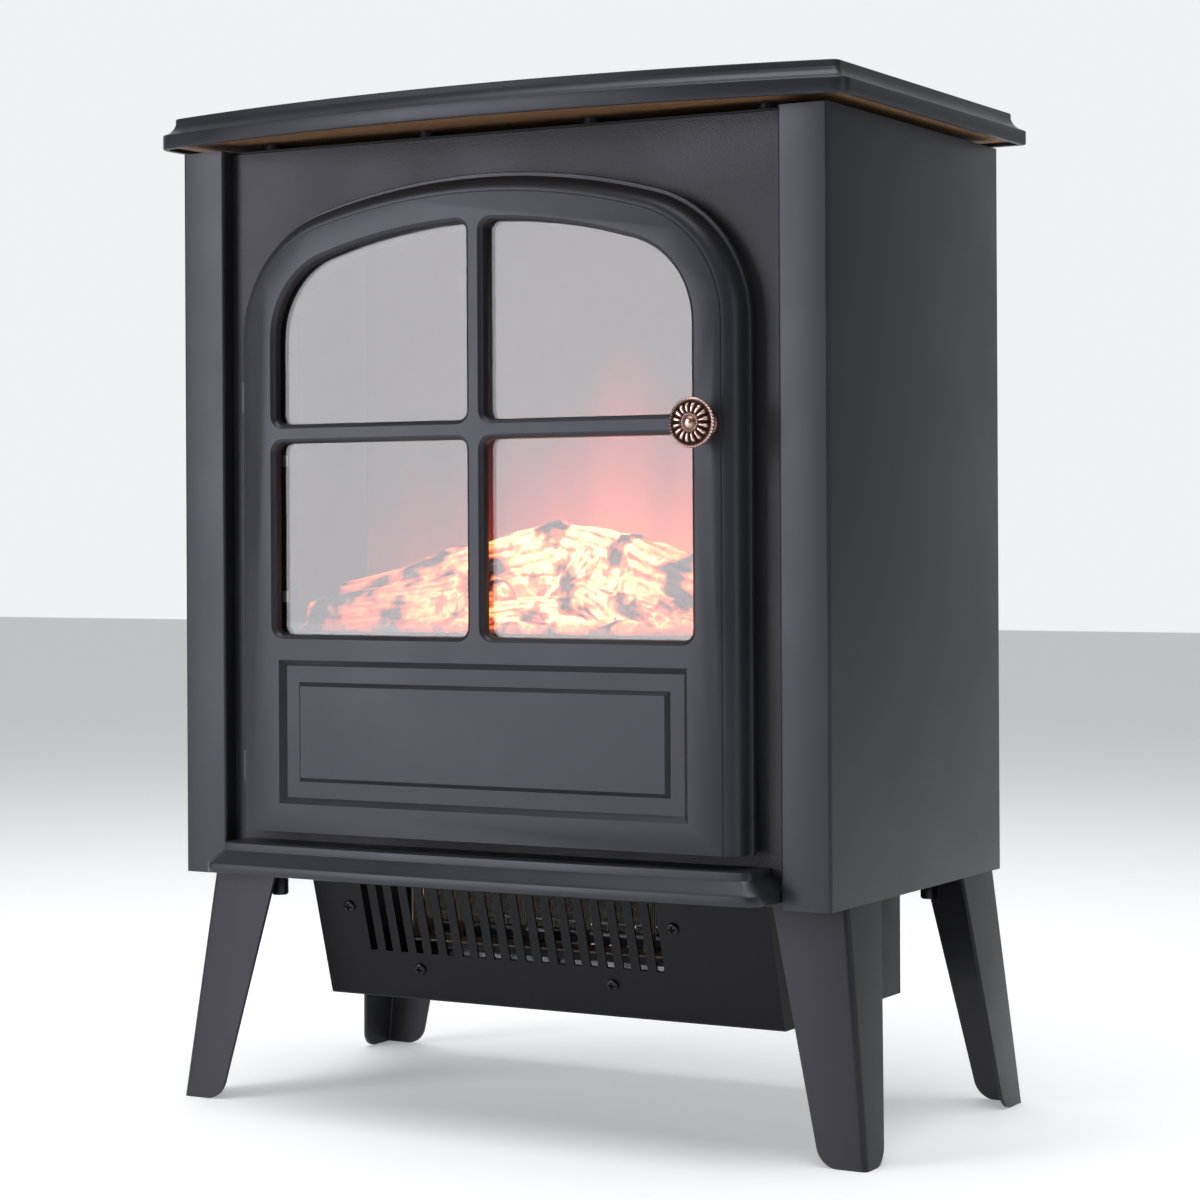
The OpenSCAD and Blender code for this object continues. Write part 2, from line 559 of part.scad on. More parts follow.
module rear_mirror() {
  color([0.75, 0.76, 0.78]) place()
    box([-liner_hw + 2, liner_y1 - 3.2, floor_z + 3], [liner_hw - 2, liner_y1 - 1.2, roof_z - 3]);
}
module led_board() {
  color([0.1, 0.35, 0.15]) place() {
    box([-110, screen_y + 3.2, fb], [110, screen_y + 4.8, fb + 12]);
    for (x = [-100:20:100]) rod_y(x, fb + 6, screen_y + 4.7, screen_y + 6.2, 2.4);
  }
}
module flame_spindle() {
  color(zinc) place() {
    rod_x(spin_y, spin_z, -liner_hw - 6, liner_hw + 4, 2.4);
    // thirteen collars with three foil strips each
    for (i = [0:12]) let (x = -120 + i * 20) {
      rod_x(spin_y, spin_z, x - 1.6, x + 1.6, 4.4);
      for (k = [0:2]) translate([x, spin_y, spin_z]) rotate([k * 120 + i * 47, 0, 0])
        translate([-7, -0.25, 3]) rotate([0, 0, 12]) cube([14, 0.5, foil_r - 4]);
    }
  }
}
module spindle_motor() {
  color(zinc) place() difference() {
    union() {
      rod_x(spin_y, spin_z, liner_hw + 5, liner_hw + 19, 18);
      rod_x(spin_y, spin_z, liner_hw + 1, liner_hw + 5.1, 6);
      box([liner_hw + 4.4, spin_y - 23, spin_z - 5], [liner_hw + 5.4, spin_y + 23, spin_z + 5]);
    }
    rod_x(spin_y, spin_z, liner_hw, liner_hw + 9, 2.4 + run);
  }
}
module spindle_bush() {
  color(black) place() difference() {
    union() {
      rod_x(spin_y, spin_z, -liner_hw - 9, -liner_hw - 0.7, 3.9);
      rod_x(spin_y, spin_z, -liner_hw - 9, -liner_hw - 2, 7);
    }
    rod_x(spin_y, spin_z, -liner_hw - 7, -liner_hw, 2.4 + run);
  }
}

// ---------- controls behind the door ----------
module control_panel() {
  color(black) place() difference() {
    union() {
      box([-107.6, ctl_y, panel_z[0] + 4.4], [107.6, yp + 4, panel_z[1] - 4.4]);
      box([-114, yp + sheet + gap, panel_z[0]], [114, yp + 4, panel_z[1]]);
    }
    box([-105, ctl_y + wall, panel_z[0] + 7], [105, yp + 5, panel_z[1] - 7]);
    for (x = sw_x) box([x - 10.6, ctl_y - 1, ctl_z - 6.6], [x + 10.6, yp + 5, ctl_z + 6.6]);
    for (x = dial_x) rod_y(x, ctl_z, ctl_y - 1, ctl_y + 9, 3.4);
  }
}
// rocker: a bent-faced key that tips about the x axis inside its body
module rocker(x) {
  place() translate([x, ctl_y + 2.4, ctl_z]) difference() {
    union() {
      rotate([rock, 0, 0]) rotate([0, 90, 0]) translate([0, 0, -9.6]) linear_extrude(19.2)
        polygon([[-5.6, -3.6], [0, -2.5], [5.6, -3.6], [5.2, 2.2], [2.4, 4.6], [-2.4, 4.6], [-5.2, 2.2]]);
    }
    rotate([0, 90, 0]) translate([0, 0, -12]) cylinder(h = 24, r = 1.2 + run, $fn = 24);
  }
}
module switch_flame() { color([0.75, 0.1, 0.08]) rocker(sw_x[0]); }
module switch_low() { color(black) rocker(sw_x[1]); }
module switch_high() { color(black) rocker(sw_x[2]); }
module switch_bodies() {
  color(black) place() for (x = sw_x) {
    difference() {
      union() {
        box([x - 12.6, ctl_y + wall + 0.1, ctl_z - 9], [x + 12.6, yp + 24, ctl_z + 9]);
        for (t = [-6, 0, 6]) box([x + t - 0.4, yp + 23, ctl_z - 2.4], [x + t + 0.4, yp + 31, ctl_z + 2.4]);
      }
      box([x - 10, ctl_y, ctl_z - 7.4], [x + 10, ctl_y + 11, ctl_z + 7.4]);
    }
    rod_x(ctl_y + 2.4, ctl_z, x - 10.1, x + 10.1, 1.2);
    for (u = [x - 10.15, x + 10.15])
      box([u - 0.15, ctl_y + 1, ctl_z - 1.5], [u + 0.15, ctl_y + wall + 0.6, ctl_z + 1.5]);
  }
}
module dial(x) {
  place() translate([x, dial_y0, ctl_z]) rotate([90, 0, 0]) {
    difference() {
      union() {
        rotate_extrude($fn = 48) polygon([[0, 0], [dial_r, 0], [dial_r, 1.4], [dial_r - 1.2, 2.2],
          [dial_r - 2, dial_h - 0.6], [dial_r - 2.8, dial_h], [0, dial_h]]);
        for (a = [0:20:359])
          rotate([0, 0, a]) translate([dial_r - 1.8, -0.5, 1.8]) cube([1.1, 1, dial_h - 2.6]);
      }
      translate([-0.5, 3, dial_h - 0.7]) cube([1, dial_r, 2]);
    }
    translate([0, 0, -19]) cylinder(h = 19.1, r = 3, $fn = 32);
  }
}
module thermostat_dial() { color(black) dial(dial_x[1]); }
module flame_dial() { color(black) dial(dial_x[0]); }
module ctl_body(x, w, d) {
  place() difference() {
    union() {
      box([x - w / 2, ctl_y + wall + 0.3, ctl_z - w / 2], [x + w / 2, ctl_y + wall + d, ctl_z + w / 2]);
      for (u = [x - 5, x + 5])
        box([u - 1, ctl_y + wall + d - 0.1, ctl_z - 0.4], [u + 1, ctl_y + wall + d + 7, ctl_z + 0.4]);
    }
    rod_y(x, ctl_z, ctl_y, dial_y0 + 19.3, 3 + run);
  }
}
module thermostat_body() { color(zinc) ctl_body(dial_x[1], 26, 24); }
module flame_pot() { color([0.15, 0.2, 0.5]) ctl_body(dial_x[0], 20, 20); }

// ---------- heater ----------
function by(z) = slope_y[0] - (slope_y[1] - slope_y[0]) * z / box_h;   // box front at height z
module on_slope(x, z) { translate([x, by(z), z]) rotate([90 + slope_a, 0, 0]) children(); }
module side_poly(x0, x1, pts) {
  translate([x0, 0, 0]) rotate([90, 0, 90]) linear_extrude(x1 - x0) polygon(pts);
}
slot_x0 = fan_x + 0.35 - slot_pitch * (slots - 1) / 2;
grille_pts = [[-99.9, -19.6], [100.1, -19.6], [-60.2, -52.4], [59.3, -52.4]];
module heater_box() {
  top = -0.1;
  t = sheet;
  color(black) place() difference() {
    side_poly(-box_w / 2, box_w / 2, [[by(top), top], [by(-box_h + 0.8), -box_h + 0.8],
      [by(-box_h) + 0.8, -box_h], [box_back, -box_h], [box_back, top]]);
    side_poly(-box_w / 2 + t, box_w / 2 - t, [[by(1) + t, 1], [by(-box_h + t) + t, -box_h + t],
      [box_back - t, -box_h + t], [box_back - t, 1]]);
    // outlet slots in the sloped front, intake slots in the back
    for (i = [0:slots - 1]) let (x = slot_x0 + i * slot_pitch)
      box([x - slot_w / 2, 30, -43.6], [x + slot_w / 2, by(-50) + 6, -6.9]);
    for (i = [0:9]) let (x = fan_x - 60 + i * 12) box([x - 3, box_back - 9, -56], [x + 3, box_back + 4, -16]);
    for (p = grille_pts)
      on_slope(fan_x + p[0], p[1]) translate([0, 0, -4]) cylinder(h = 8, r = 1.7, $fn = 24);
  }
}
module grille_screws() {
  color(black) place() for (p = grille_pts) on_slope(fan_x + p[0], p[1])
    translate([0, 0, gap / 4]) mirror([0, 0, 1]) pan_screw(6, 1.5, 2);
}
module element_frame() {
  x0 = fan_x - 72;
  x1 = fan_x + 90;
  color([0.62, 0.60, 0.56]) place() {
    box([x0, 64, -38.4], [x1, 84, -37.4]);
    box([x0, 64, -5.4], [x1, 84, -4.4]);
    for (x = [x0, x1 - 1]) box([x, 64, -38.4], [x + 1, 84, -4.4]);
    for (i = [0:3]) box([x0 + 20 + i * 40, 72, -37.6], [x0 + 20.8 + i * 40, 84, -5.2]);
  }
}
module heating_wire() {
  color([0.5, 0.47, 0.42]) place() {
    for (i = [0:38]) translate([fan_x - 66.6 + i * 4, 68, 0]) {
      translate([0, 0, -26]) cylinder(h = 18, r = 0.5, $fn = 13);
    }
    for (z = [-26, -8]) rod_x(68, z, fan_x - 67, fan_x + 85.9, 0.62);
    for (x = [fan_x - 67, fan_x + 85.1]) box([x, 67.4, -37.35], [x + 0.8, 68.6, -7.6]);
  }
}
module blower_wheel() {
  color(zinc) place() {
    rod_x(wheel_y, wheel_z, wheel_x0 - 5, wheel_x0 + wheel_len + 26, 2.5);
    for (x = [0, wheel_len / 2, wheel_len - 1.5])
      rod_x(wheel_y, wheel_z, wheel_x0 + x, wheel_x0 + x + 1.5, wheel_r);
    for (k = [0:19]) translate([wheel_x0, wheel_y, wheel_z]) rotate([k * 18, 0, 0])
      translate([0.5, 0, wheel_r - 5.4]) rotate([25, 0, 0])
        translate([0, -0.4, 0]) cube([wheel_len - 1, 0.8, 4.6]);
  }
}
hx0 = wheel_x0 - 3.4;            // side plates of the blower housing
hx1 = wheel_x0 + wheel_len + 2.2;
module blower_housing() {
  color([0.6, 0.6, 0.62]) place() difference() {
    union() {
      for (x = [hx0, hx1]) box([x, wheel_y - 24, -box_h + 3], [x + 1.2, wheel_y + 26, -3]);
      box([hx0, wheel_y - 24, -box_h + 3], [hx1 + 1.2, wheel_y + 20, -box_h + 4.2]);
      box([hx0, wheel_y + 24.8, -34], [hx1 + 1.2, wheel_y + 26, -3]);
      box([hx0, wheel_y - 24, -4.2], [hx1 + 1.2, wheel_y + 26, -3]);
    }
    rod_x(wheel_y, wheel_z, hx0 - 2, hx0 + 3, 2.5 + run);
    rod_x(wheel_y, wheel_z, hx1 - 2, hx1 + 3, 4);
  }
}
module blower_motor() {
  color(zinc) place() difference() {
    union() {
      rod_x(wheel_y, wheel_z, hx1 + 5, hx1 + 27, 16);
      rod_x(wheel_y, wheel_z, hx1 + 1.4, hx1 + 31, 7);
      box([hx1 + 9, wheel_y - 14, -box_h + sheet + 1], [hx1 + 23, wheel_y + 22, wheel_z]);
    }
    rod_x(wheel_y, wheel_z, hx1, hx1 + 28, 2.5 + run);
  }
}
module thermal_cutout() {
  color(black) place() {
    box([fan_x + 30, 88, -3], [fan_x + 46, 96, -0.4]);
    for (x = [33, 41]) box([fan_x + x, 90, -0.5], [fan_x + x + 2, 94, 5]);
  }
}
module terminal_block() {
  color([0.85, 0.84, 0.78]) place() difference() {
    box([hw - 78, yr - 40, 1.6], [hw - 38, yr - 20, 15]);
    for (i = [0:3]) translate([hw - 73 + i * 10, yr - 30, 6]) cylinder(h = 12, r = 2, $fn = 24);
  }
}
module cable_gland() {
  color(black) place() difference() {
    union() {
      rod_y(gland_x, gland_z, yr - 14, yr + 0.2, 8);
      rod_y(gland_x, gland_z, yr - sheet - gap + 0.05, yr + 3.2, 10.5);
      rod_y(gland_x, gland_z, yr - 14, yr - 2 * sheet - gap - 0.1, 9.6);
    }
    rod_y(gland_x, gland_z, yr - 20, yr + 9, gland_r);
  }
}

// ---------- legs ----------
// centre of the stud through the flange of a front (-1) or rear (1) leg
function leg_hole(dir) = dir < 0 ? [hw - 33, 40.5] : [hw - 31, yr - 26];
// folded angle: front face, side face and a top flange; the fold leans out
// outer fold of a leg at the top and at the floor: front pair, rear pair
front_top = [hw - 2.1, 22.6];
front_foot = [hw - 2.1 + leg_splay, 12.2];
rear_top = [hw - 2.1, yr - 4.8];
rear_foot = [hw - 2.1 + leg_splay, yr - 0.7];
function lerp(a, b, t) = a + (b - a) * t;
// one right-hand leg, side face running back from the fold; w and s are the
// widths of the front and the side face at the top and at the floor
module leg(top, foot, hole, w, s) {
  z0 = -leg_h;
  z1 = -0.15;
  fr = 3;
  // plan section at height z: front face, outer fold, side face
  sec = function (z) let (t = (z - z0) / (z1 - z0),
      x = lerp(foot[0], top[0], t), y = lerp(foot[1], top[1], t),
      wf = lerp(w[1], w[0], t), ws = lerp(s[1], s[0], t),
      p = concat([[x - wf, y]], [for (a = [0:30:90]) [x - fr + fr * sin(a), y + fr - fr * cos(a)]],
        [[x, y + ws], [x - thick, y + ws], [x - thick, y + thick], [x - wf, y + thick]]))
    [for (q = p) [q[0], q[1], z]];
  skin([sec(z1), sec(z0)]);
  // top flange under the body, its edges buried in the walls
  difference() {
    box([top[0] - w[0] + 1, top[1] + 1, z1 - thick], [top[0] - 1, top[1] + s[0] - 1, z1 - 0.05]);
    translate([hole[0], hole[1], -9]) cylinder(h = 12, r = 2.1);
  }
}
module front_leg() { leg(front_top, front_foot, leg_hole(-1), [leg_top_w, leg_foot_w + 1], [40, 20.5]); }
// the rear leg is the same angle turned to face the back
module rear_leg() {
  flip = function (p) [p[0], -p[1]];
  mirror([0, 1, 0])
    leg(flip(rear_top), flip(rear_foot), flip(leg_hole(1)), [leg_top_w, leg_foot_w + 1], [42, 26]);
}
module leg_front_right() { color(steel) place() front_leg(); }
module leg_front_left() { color(steel) place() mirror([1, 0, 0]) front_leg(); }
module leg_rear_right() { color(steel) place() rear_leg(); }
module leg_rear_left() { color(steel) place() mirror([1, 0, 0]) rear_leg(); }
module leg_knobs() {
  color(black) place() for (s = [-1, 1]) for (d = [-1, 1])
    translate([s * leg_hole(d)[0], leg_hole(d)[1], 0]) {
    translate([0, 0, -15.3]) rotate_extrude($fn = 32)
      polygon([[0, 0], [3.9, 0], [4.6, 0.8], [4.6, 11], [4.2, 12], [3.4, 12.9], [0, 12.9]]);
    translate([0, 0, -2.5]) cylinder(h = 9, r = 1.95, $fn = 24);
  }
}

side_wrap_left();
side_wrap_right();
front_panel();
rear_panel();
base_plate();
top_frame();
top_lid();
lid_liner();
lid_screws();
rear_screws();
hearth_ledge();
door_shell();
door_knob();
knob_screw();
hinge_tabs();
hinge_pins();
door_magnet();
strike_plate();
glass_pane();
glass_clips();
clip_screws();
firebox_liner();
fuel_bed();
flame_screen();
rear_mirror();
led_board();
flame_spindle();
spindle_motor();
spindle_bush();
control_panel();
switch_flame();
switch_low();
switch_high();
switch_bodies();
thermostat_dial();
flame_dial();
thermostat_body();
flame_pot();
heater_box();
grille_screws();
element_frame();
heating_wire();
blower_wheel();
blower_housing();
blower_motor();
thermal_cutout();
terminal_block();
cable_gland();
leg_front_left();
leg_front_right();
leg_rear_left();
leg_rear_right();
leg_knobs();
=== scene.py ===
# %% [markdown]
# # A freestanding electric stove
#
# A sheet-steel stove on four splayed legs. Behind an arched four-pane door a
# resin log bed glows in front of a flame screen, and a fan heater sits in a
# box under the body. The engineering model gives the frame: every plate,
# hinge and shaft is already at its true place and size. This lesson puts the
# visible surfaces round it. Lengths are worked out in millimetres, because a
# maker thinks of this object in millimetres, and turned into metres last.

# %% Load the frame
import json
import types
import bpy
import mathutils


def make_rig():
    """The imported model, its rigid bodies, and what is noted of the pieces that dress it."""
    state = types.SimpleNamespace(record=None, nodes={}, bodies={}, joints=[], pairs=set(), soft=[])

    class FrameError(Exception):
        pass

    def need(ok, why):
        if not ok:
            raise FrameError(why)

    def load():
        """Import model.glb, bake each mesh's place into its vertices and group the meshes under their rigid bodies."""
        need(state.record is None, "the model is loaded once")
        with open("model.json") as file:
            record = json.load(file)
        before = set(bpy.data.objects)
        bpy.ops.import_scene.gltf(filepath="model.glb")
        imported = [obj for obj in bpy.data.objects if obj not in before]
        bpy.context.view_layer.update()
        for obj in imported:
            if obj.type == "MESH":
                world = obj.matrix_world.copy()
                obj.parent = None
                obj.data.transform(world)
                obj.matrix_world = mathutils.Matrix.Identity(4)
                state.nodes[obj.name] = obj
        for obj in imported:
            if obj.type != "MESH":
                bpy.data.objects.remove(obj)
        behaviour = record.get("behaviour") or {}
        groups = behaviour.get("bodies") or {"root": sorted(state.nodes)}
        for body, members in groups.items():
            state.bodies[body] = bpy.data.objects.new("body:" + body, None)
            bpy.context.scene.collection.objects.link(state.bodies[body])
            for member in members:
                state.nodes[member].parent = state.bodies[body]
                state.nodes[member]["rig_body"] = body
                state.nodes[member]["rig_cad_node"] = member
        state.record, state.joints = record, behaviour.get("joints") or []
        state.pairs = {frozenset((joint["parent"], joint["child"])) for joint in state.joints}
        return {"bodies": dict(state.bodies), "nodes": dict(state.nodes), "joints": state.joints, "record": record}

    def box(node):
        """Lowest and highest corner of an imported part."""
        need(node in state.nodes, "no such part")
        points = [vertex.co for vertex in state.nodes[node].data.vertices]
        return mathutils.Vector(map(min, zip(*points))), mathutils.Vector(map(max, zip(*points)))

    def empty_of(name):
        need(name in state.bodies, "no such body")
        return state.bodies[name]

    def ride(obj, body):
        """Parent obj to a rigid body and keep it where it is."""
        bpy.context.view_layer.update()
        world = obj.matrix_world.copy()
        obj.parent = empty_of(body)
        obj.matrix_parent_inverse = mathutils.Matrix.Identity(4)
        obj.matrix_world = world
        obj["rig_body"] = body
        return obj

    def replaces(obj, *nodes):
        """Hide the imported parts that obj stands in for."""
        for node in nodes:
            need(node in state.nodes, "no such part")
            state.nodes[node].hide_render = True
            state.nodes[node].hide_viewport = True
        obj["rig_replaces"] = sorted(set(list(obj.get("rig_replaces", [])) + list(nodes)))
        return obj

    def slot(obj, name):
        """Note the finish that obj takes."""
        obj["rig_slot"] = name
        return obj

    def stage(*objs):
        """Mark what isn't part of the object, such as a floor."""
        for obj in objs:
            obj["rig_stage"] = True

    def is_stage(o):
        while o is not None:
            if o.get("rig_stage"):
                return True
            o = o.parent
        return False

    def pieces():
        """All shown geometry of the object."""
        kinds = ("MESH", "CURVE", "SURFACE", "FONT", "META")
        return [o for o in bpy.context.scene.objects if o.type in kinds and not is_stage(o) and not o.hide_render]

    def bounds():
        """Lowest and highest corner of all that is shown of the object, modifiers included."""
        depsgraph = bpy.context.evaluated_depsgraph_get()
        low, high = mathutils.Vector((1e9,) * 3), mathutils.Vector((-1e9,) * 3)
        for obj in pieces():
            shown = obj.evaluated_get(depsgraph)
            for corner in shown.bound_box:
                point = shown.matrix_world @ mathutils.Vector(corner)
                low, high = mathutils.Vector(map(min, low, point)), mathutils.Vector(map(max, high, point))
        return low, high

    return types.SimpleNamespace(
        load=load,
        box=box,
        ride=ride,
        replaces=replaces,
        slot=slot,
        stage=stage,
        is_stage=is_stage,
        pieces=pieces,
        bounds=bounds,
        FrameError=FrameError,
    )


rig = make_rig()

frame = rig.load()

import json
import math

import bmesh
import bpy
import numpy as np
from mathutils import Euler

cad_box = [list(v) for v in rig.bounds()]
MM = 0.001
print("bodies:", sorted(frame["bodies"]))

# %% [markdown]
# ## Measuring with the frame
#
# Nothing here is placed by eye. `span` reads the two corners of a part in
# millimetres, and the stove's own planes follow from a few parts: the side
# sheet gives the front of the body, the door shell gives the door.

# %% Planes and sizes
def span(node):
    """Lowest and highest corner of a part, in millimetres."""
    lo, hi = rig.box(node)
    return np.array(lo) / MM, np.array(hi) / MM


wrap_lo, wrap_hi = span("side_wrap_right")
FRONT, BACK = wrap_lo[1], wrap_hi[1]          # y of the front strips and of the back
BASE, TOP = wrap_lo[2], wrap_hi[2]            # z of the body's bottom and top
HALF, STRIP = wrap_hi[0], wrap_lo[0]          # x of the side and of the strip's inner edge
door_lo, door_hi = span("door_shell")
knob_lo, knob_hi = span("door_knob")
KNOB = (knob_lo + knob_hi) / 2
ORIGIN = np.array([0.0, FRONT, BASE])         # body's own zero: middle of the front, at the bottom
print("body", FRONT, BACK, BASE, TOP, HALF, STRIP)

# %% [markdown]
# ## Camera
#
# The stove is seen from the right, a little below its middle, with a long
# lens. A small downward shift keeps the verticals upright. Tilting the camera
# instead would make them lean.

# %% Camera
def make_camera():
    """A camera at the viewing place: position, turn about the vertical, lens."""
    data = bpy.data.cameras.new("camera")
    data.lens = 88.7
    data.sensor_width = 36
    data.shift_y = -0.0583
    cam = bpy.data.objects.new("camera", data)
    cam.location = (0.8022, -1.3813, 0.3098)
    cam.rotation_euler = Euler((math.radians(90), 0, math.radians(29.8)), "XYZ")
    cam.rotation_euler.rotate_axis("Z", math.radians(-0.284))
    bpy.context.scene.collection.objects.link(cam)
    bpy.context.scene.camera = cam
    return cam


camera = make_camera()

# %% [markdown]
# ## Light
#
# A dark satin object is lit by what it mirrors. One wide soft box stands at
# the front left, where the glass also mirrors it: that is the pale veil over
# the fire. A narrow strip at the right draws the thin highlights on rounded
# edges, and a pale room fills the rest.

# %% Lights, room and floor
def soft_box(name, size, place, aim, power, colour):
    """A rectangular light at place, turned so that its face looks at aim."""
    data = bpy.data.lights.new(name, "AREA")
    data.shape = "RECTANGLE"
    data.size, data.size_y = size
    data.energy = power
    data.color = colour
    lamp = bpy.data.objects.new(name, data)
    away = np.array(place) - np.array(aim)
    turn = math.atan2(away[0], -away[1])
    tip = math.atan2(math.hypot(away[0], away[1]), away[2])
    lamp.rotation_euler = Euler((tip, 0, turn), "XYZ")
    lamp.location = place
    bpy.context.scene.collection.objects.link(lamp)
    return lamp


key = soft_box("key_box", (1.05, 1.7), (-1.38, -2.2, 0.88), (0, 0, 0.60), 31, (0.975, 0.955, 1.0))
strip = soft_box("strip_box", (0.22, 1.5), (2.0, -0.35, 0.6), (0, 0, 0.3), 3.2, (0.97, 0.97, 1.0))
top = soft_box("top_box", (2.4, 2.4), (0.0, -0.3, 2.6), (0, 0, 0), 16, (1.0, 1.0, 1.0))
top.data.spread = math.radians(75)

world = bpy.data.worlds.new("room")
bpy.context.scene.world = world
world.use_nodes = True


def bright_behind(tree, low, high):
    """Room light that rises from low at the front right to high behind the stove."""
    heading = tree.nodes.new("ShaderNodeTexCoord")
    dot = tree.nodes.new("ShaderNodeVectorMath")
    dot.operation = "DOT_PRODUCT"
    dot.inputs[1].default_value = (-0.55, 0.84, 0.0)
    tree.links.new(heading.outputs["Generated"], dot.inputs[0])
    level_node = tree.nodes.new("ShaderNodeMapRange")
    for label, value in (("From Min", 0.4), ("From Max", 0.85), ("To Min", low), ("To Max", high)):
        level_node.inputs[label].default_value = value
    tree.links.new(dot.outputs["Value"], level_node.inputs["Value"])
    tree.links.new(level_node.outputs["Result"], tree.nodes["Background"].inputs["Strength"])


world.node_tree.nodes["Background"].inputs["Color"].default_value = (0.97, 0.98, 1.0, 1)
bright_behind(world.node_tree, 0.10, 0.90)
bpy.context.scene.view_settings.view_transform = "Standard"

bpy.ops.mesh.primitive_plane_add(size=14)
floor = bpy.context.object
floor.name = "floor"
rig.stage(floor)

# %% [markdown]
# ## Building surfaces
#
# Two shapes make almost everything. A *loft* is a stack of rings with equal
# point counts, joined ring to ring; a *grid* is a surface worked out from two
# parameters. Both are computed as whole arrays and handed to one function
# that makes the mesh, merges doubles, turns the faces outwards and marks
# every edge sharper than a given angle, so that rounds shade smooth and
# corners stay crisp.

# %% Mesh helpers
def solid(name, parts, body, slot, sharp=38, keep_open=False):
    """One piece from (points in mm, faces) parts, smooth except at sharp edges."""
    points, faces, start = [], [], 0
    for pts, fcs in parts:
        points.append(np.asarray(pts, float).reshape(-1, 3))
        faces += [tuple(int(i) + start for i in f) for f in fcs]
        start += len(points[-1])
    mesh = bpy.data.meshes.new(name)
    mesh.from_pydata(((np.concatenate(points) + ORIGIN) * MM).tolist(), [], faces)
    finish_mesh(mesh, sharp, keep_open)
    piece = bpy.data.objects.new(name, mesh)
    bpy.context.scene.collection.objects.link(piece)
    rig.ride(piece, body)
    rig.slot(piece, slot)
    return piece


def finish_mesh(mesh, sharp, keep_open=False):
    """Merges doubles, turns faces outwards and shades by angle."""
    bm = bmesh.new()
    bm.from_mesh(mesh)
    bmesh.ops.remove_doubles(bm, verts=bm.verts, dist=2e-6)
    bmesh.ops.dissolve_degenerate(bm, edges=bm.edges, dist=1e-6)
    if not keep_open:
        bmesh.ops.recalc_face_normals(bm, faces=bm.faces)
    bm.to_mesh(mesh)
    bm.free()
    mesh.shade_smooth()
    mesh.set_sharp_from_angle(angle=math.radians(sharp))


def grid_faces(rows, cols, wrap_rows=False, wrap_cols=False):
    """Quads of a rows by cols grid, with either direction closed on request."""
    r = np.arange(rows if wrap_rows else rows - 1)[:, None]
    c = np.arange(cols if wrap_cols else cols - 1)[None, :]
    r2, c2 = (r + 1) % rows, (c + 1) % cols
    quad = np.stack([r * cols + c, r * cols + c2, r2 * cols + c2, r2 * cols + c], -1)
    return quad.reshape(-1, 4).tolist()


def loft(rings, cap=(True, True)):
    """Rings (m, n, 3) joined in order, with flat caps at the ends where asked."""
    rings = np.asarray(rings, float)
    m, n = rings.shape[:2]
    faces = grid_faces(m, n, wrap_cols=True)
    if cap[0]:
        faces.append(tuple(range(n)))
    if cap[1]:
        faces.append(tuple(range((m - 1) * n, m * n)))
    return rings.reshape(-1, 3), faces


def tube(a, b, radius, n=24, chamfer=0.0):
    """A rod from a to b: circles square to the line, with chamfered ends."""
    a, b = np.array(a, float), np.array(b, float)
    along = (b - a) / np.linalg.norm(b - a)
    side = np.cross(along, [0.3, 0.5, 0.81])
    side /= np.linalg.norm(side)
    up = np.cross(along, side)
    t = np.linspace(0, 2 * np.pi, n, endpoint=False)
    circle = np.cos(t)[:, None] * side + np.sin(t)[:, None] * up
    c = chamfer
    long = np.linalg.norm(b - a)
    stops = [(0, radius - c), (c, radius), (long - c, radius), (long, radius - c)]
    if c == 0:
        stops = [stops[0], stops[3]]
    return loft([a + along * s + circle * r for s, r in stops])


def block(lo, hi):
    """A plain box between two corners."""
    x0, y0, z0 = lo
    x1, y1, z1 = hi
    ring = np.array([[x0, y0], [x1, y0], [x1, y1], [x0, y1]])
    return loft([np.column_stack([ring, np.full(4, z)]) for z in (z0, z1)])


def bevel(piece, width, segments=2, angle=35):
    """Rounds the sharp edges of a piece by width millimetres."""
    mod = piece.modifiers.new("rounded_edges", "BEVEL")
    mod.width = width * MM
    mod.segments = segments
    mod.limit_method = "ANGLE"
    mod.angle_limit = math.radians(angle)
    mod.harden_normals = True
    mod.use_clamp_overlap = True
    return piece


# %% [markdown]
# ## Finishes
#
# Every finish is procedural and reads Object coordinates, which sit still on
# a piece in metres. Powder coat is a fine orange peel: a cell-like noise a
# few tenths of a millimetre across in the bump, a slower cloud in the
# roughness, and a slight change of colour where the coat is thin.

# %% Shader helpers
def new_material(name):
    """An empty node material and its Principled shader."""
    mat = bpy.data.materials.new(name)
    mat.use_nodes = True
    return mat, mat.node_tree, mat.node_tree.nodes["Principled BSDF"]


def node(tree, kind, **values):
    """A node with its inputs set by name, such as Scale=20."""
    made = tree.nodes.new(kind)
    for key_name, value in values.items():
        made.inputs[key_name.replace("_", " ")].default_value = value
    return made


def noise_of(tree, scale, detail=3.0, rough=0.55):
    """Noise on Object coordinates, scale in lumps per metre."""
    place = tree.nodes.new("ShaderNodeTexCoord")
    made = node(tree, "ShaderNodeTexNoise", Scale=scale, Detail=detail, Roughness=rough)
    tree.links.new(place.outputs["Object"], made.inputs["Vector"])
    return made


def ramp_of(tree, source, stops):
    """A colour ramp fed by a value, from (position, colour) stops."""
    made = tree.nodes.new("ShaderNodeValToRGB")
    ramp = made.color_ramp
    while len(ramp.elements) < len(stops):
        ramp.elements.new(0.5)
    for element, (at, colour) in zip(ramp.elements, stops):
        element.position = at
        element.color = (*colour, 1) if len(colour) == 3 else colour
    tree.links.new(source, made.inputs["Fac"])
    return made


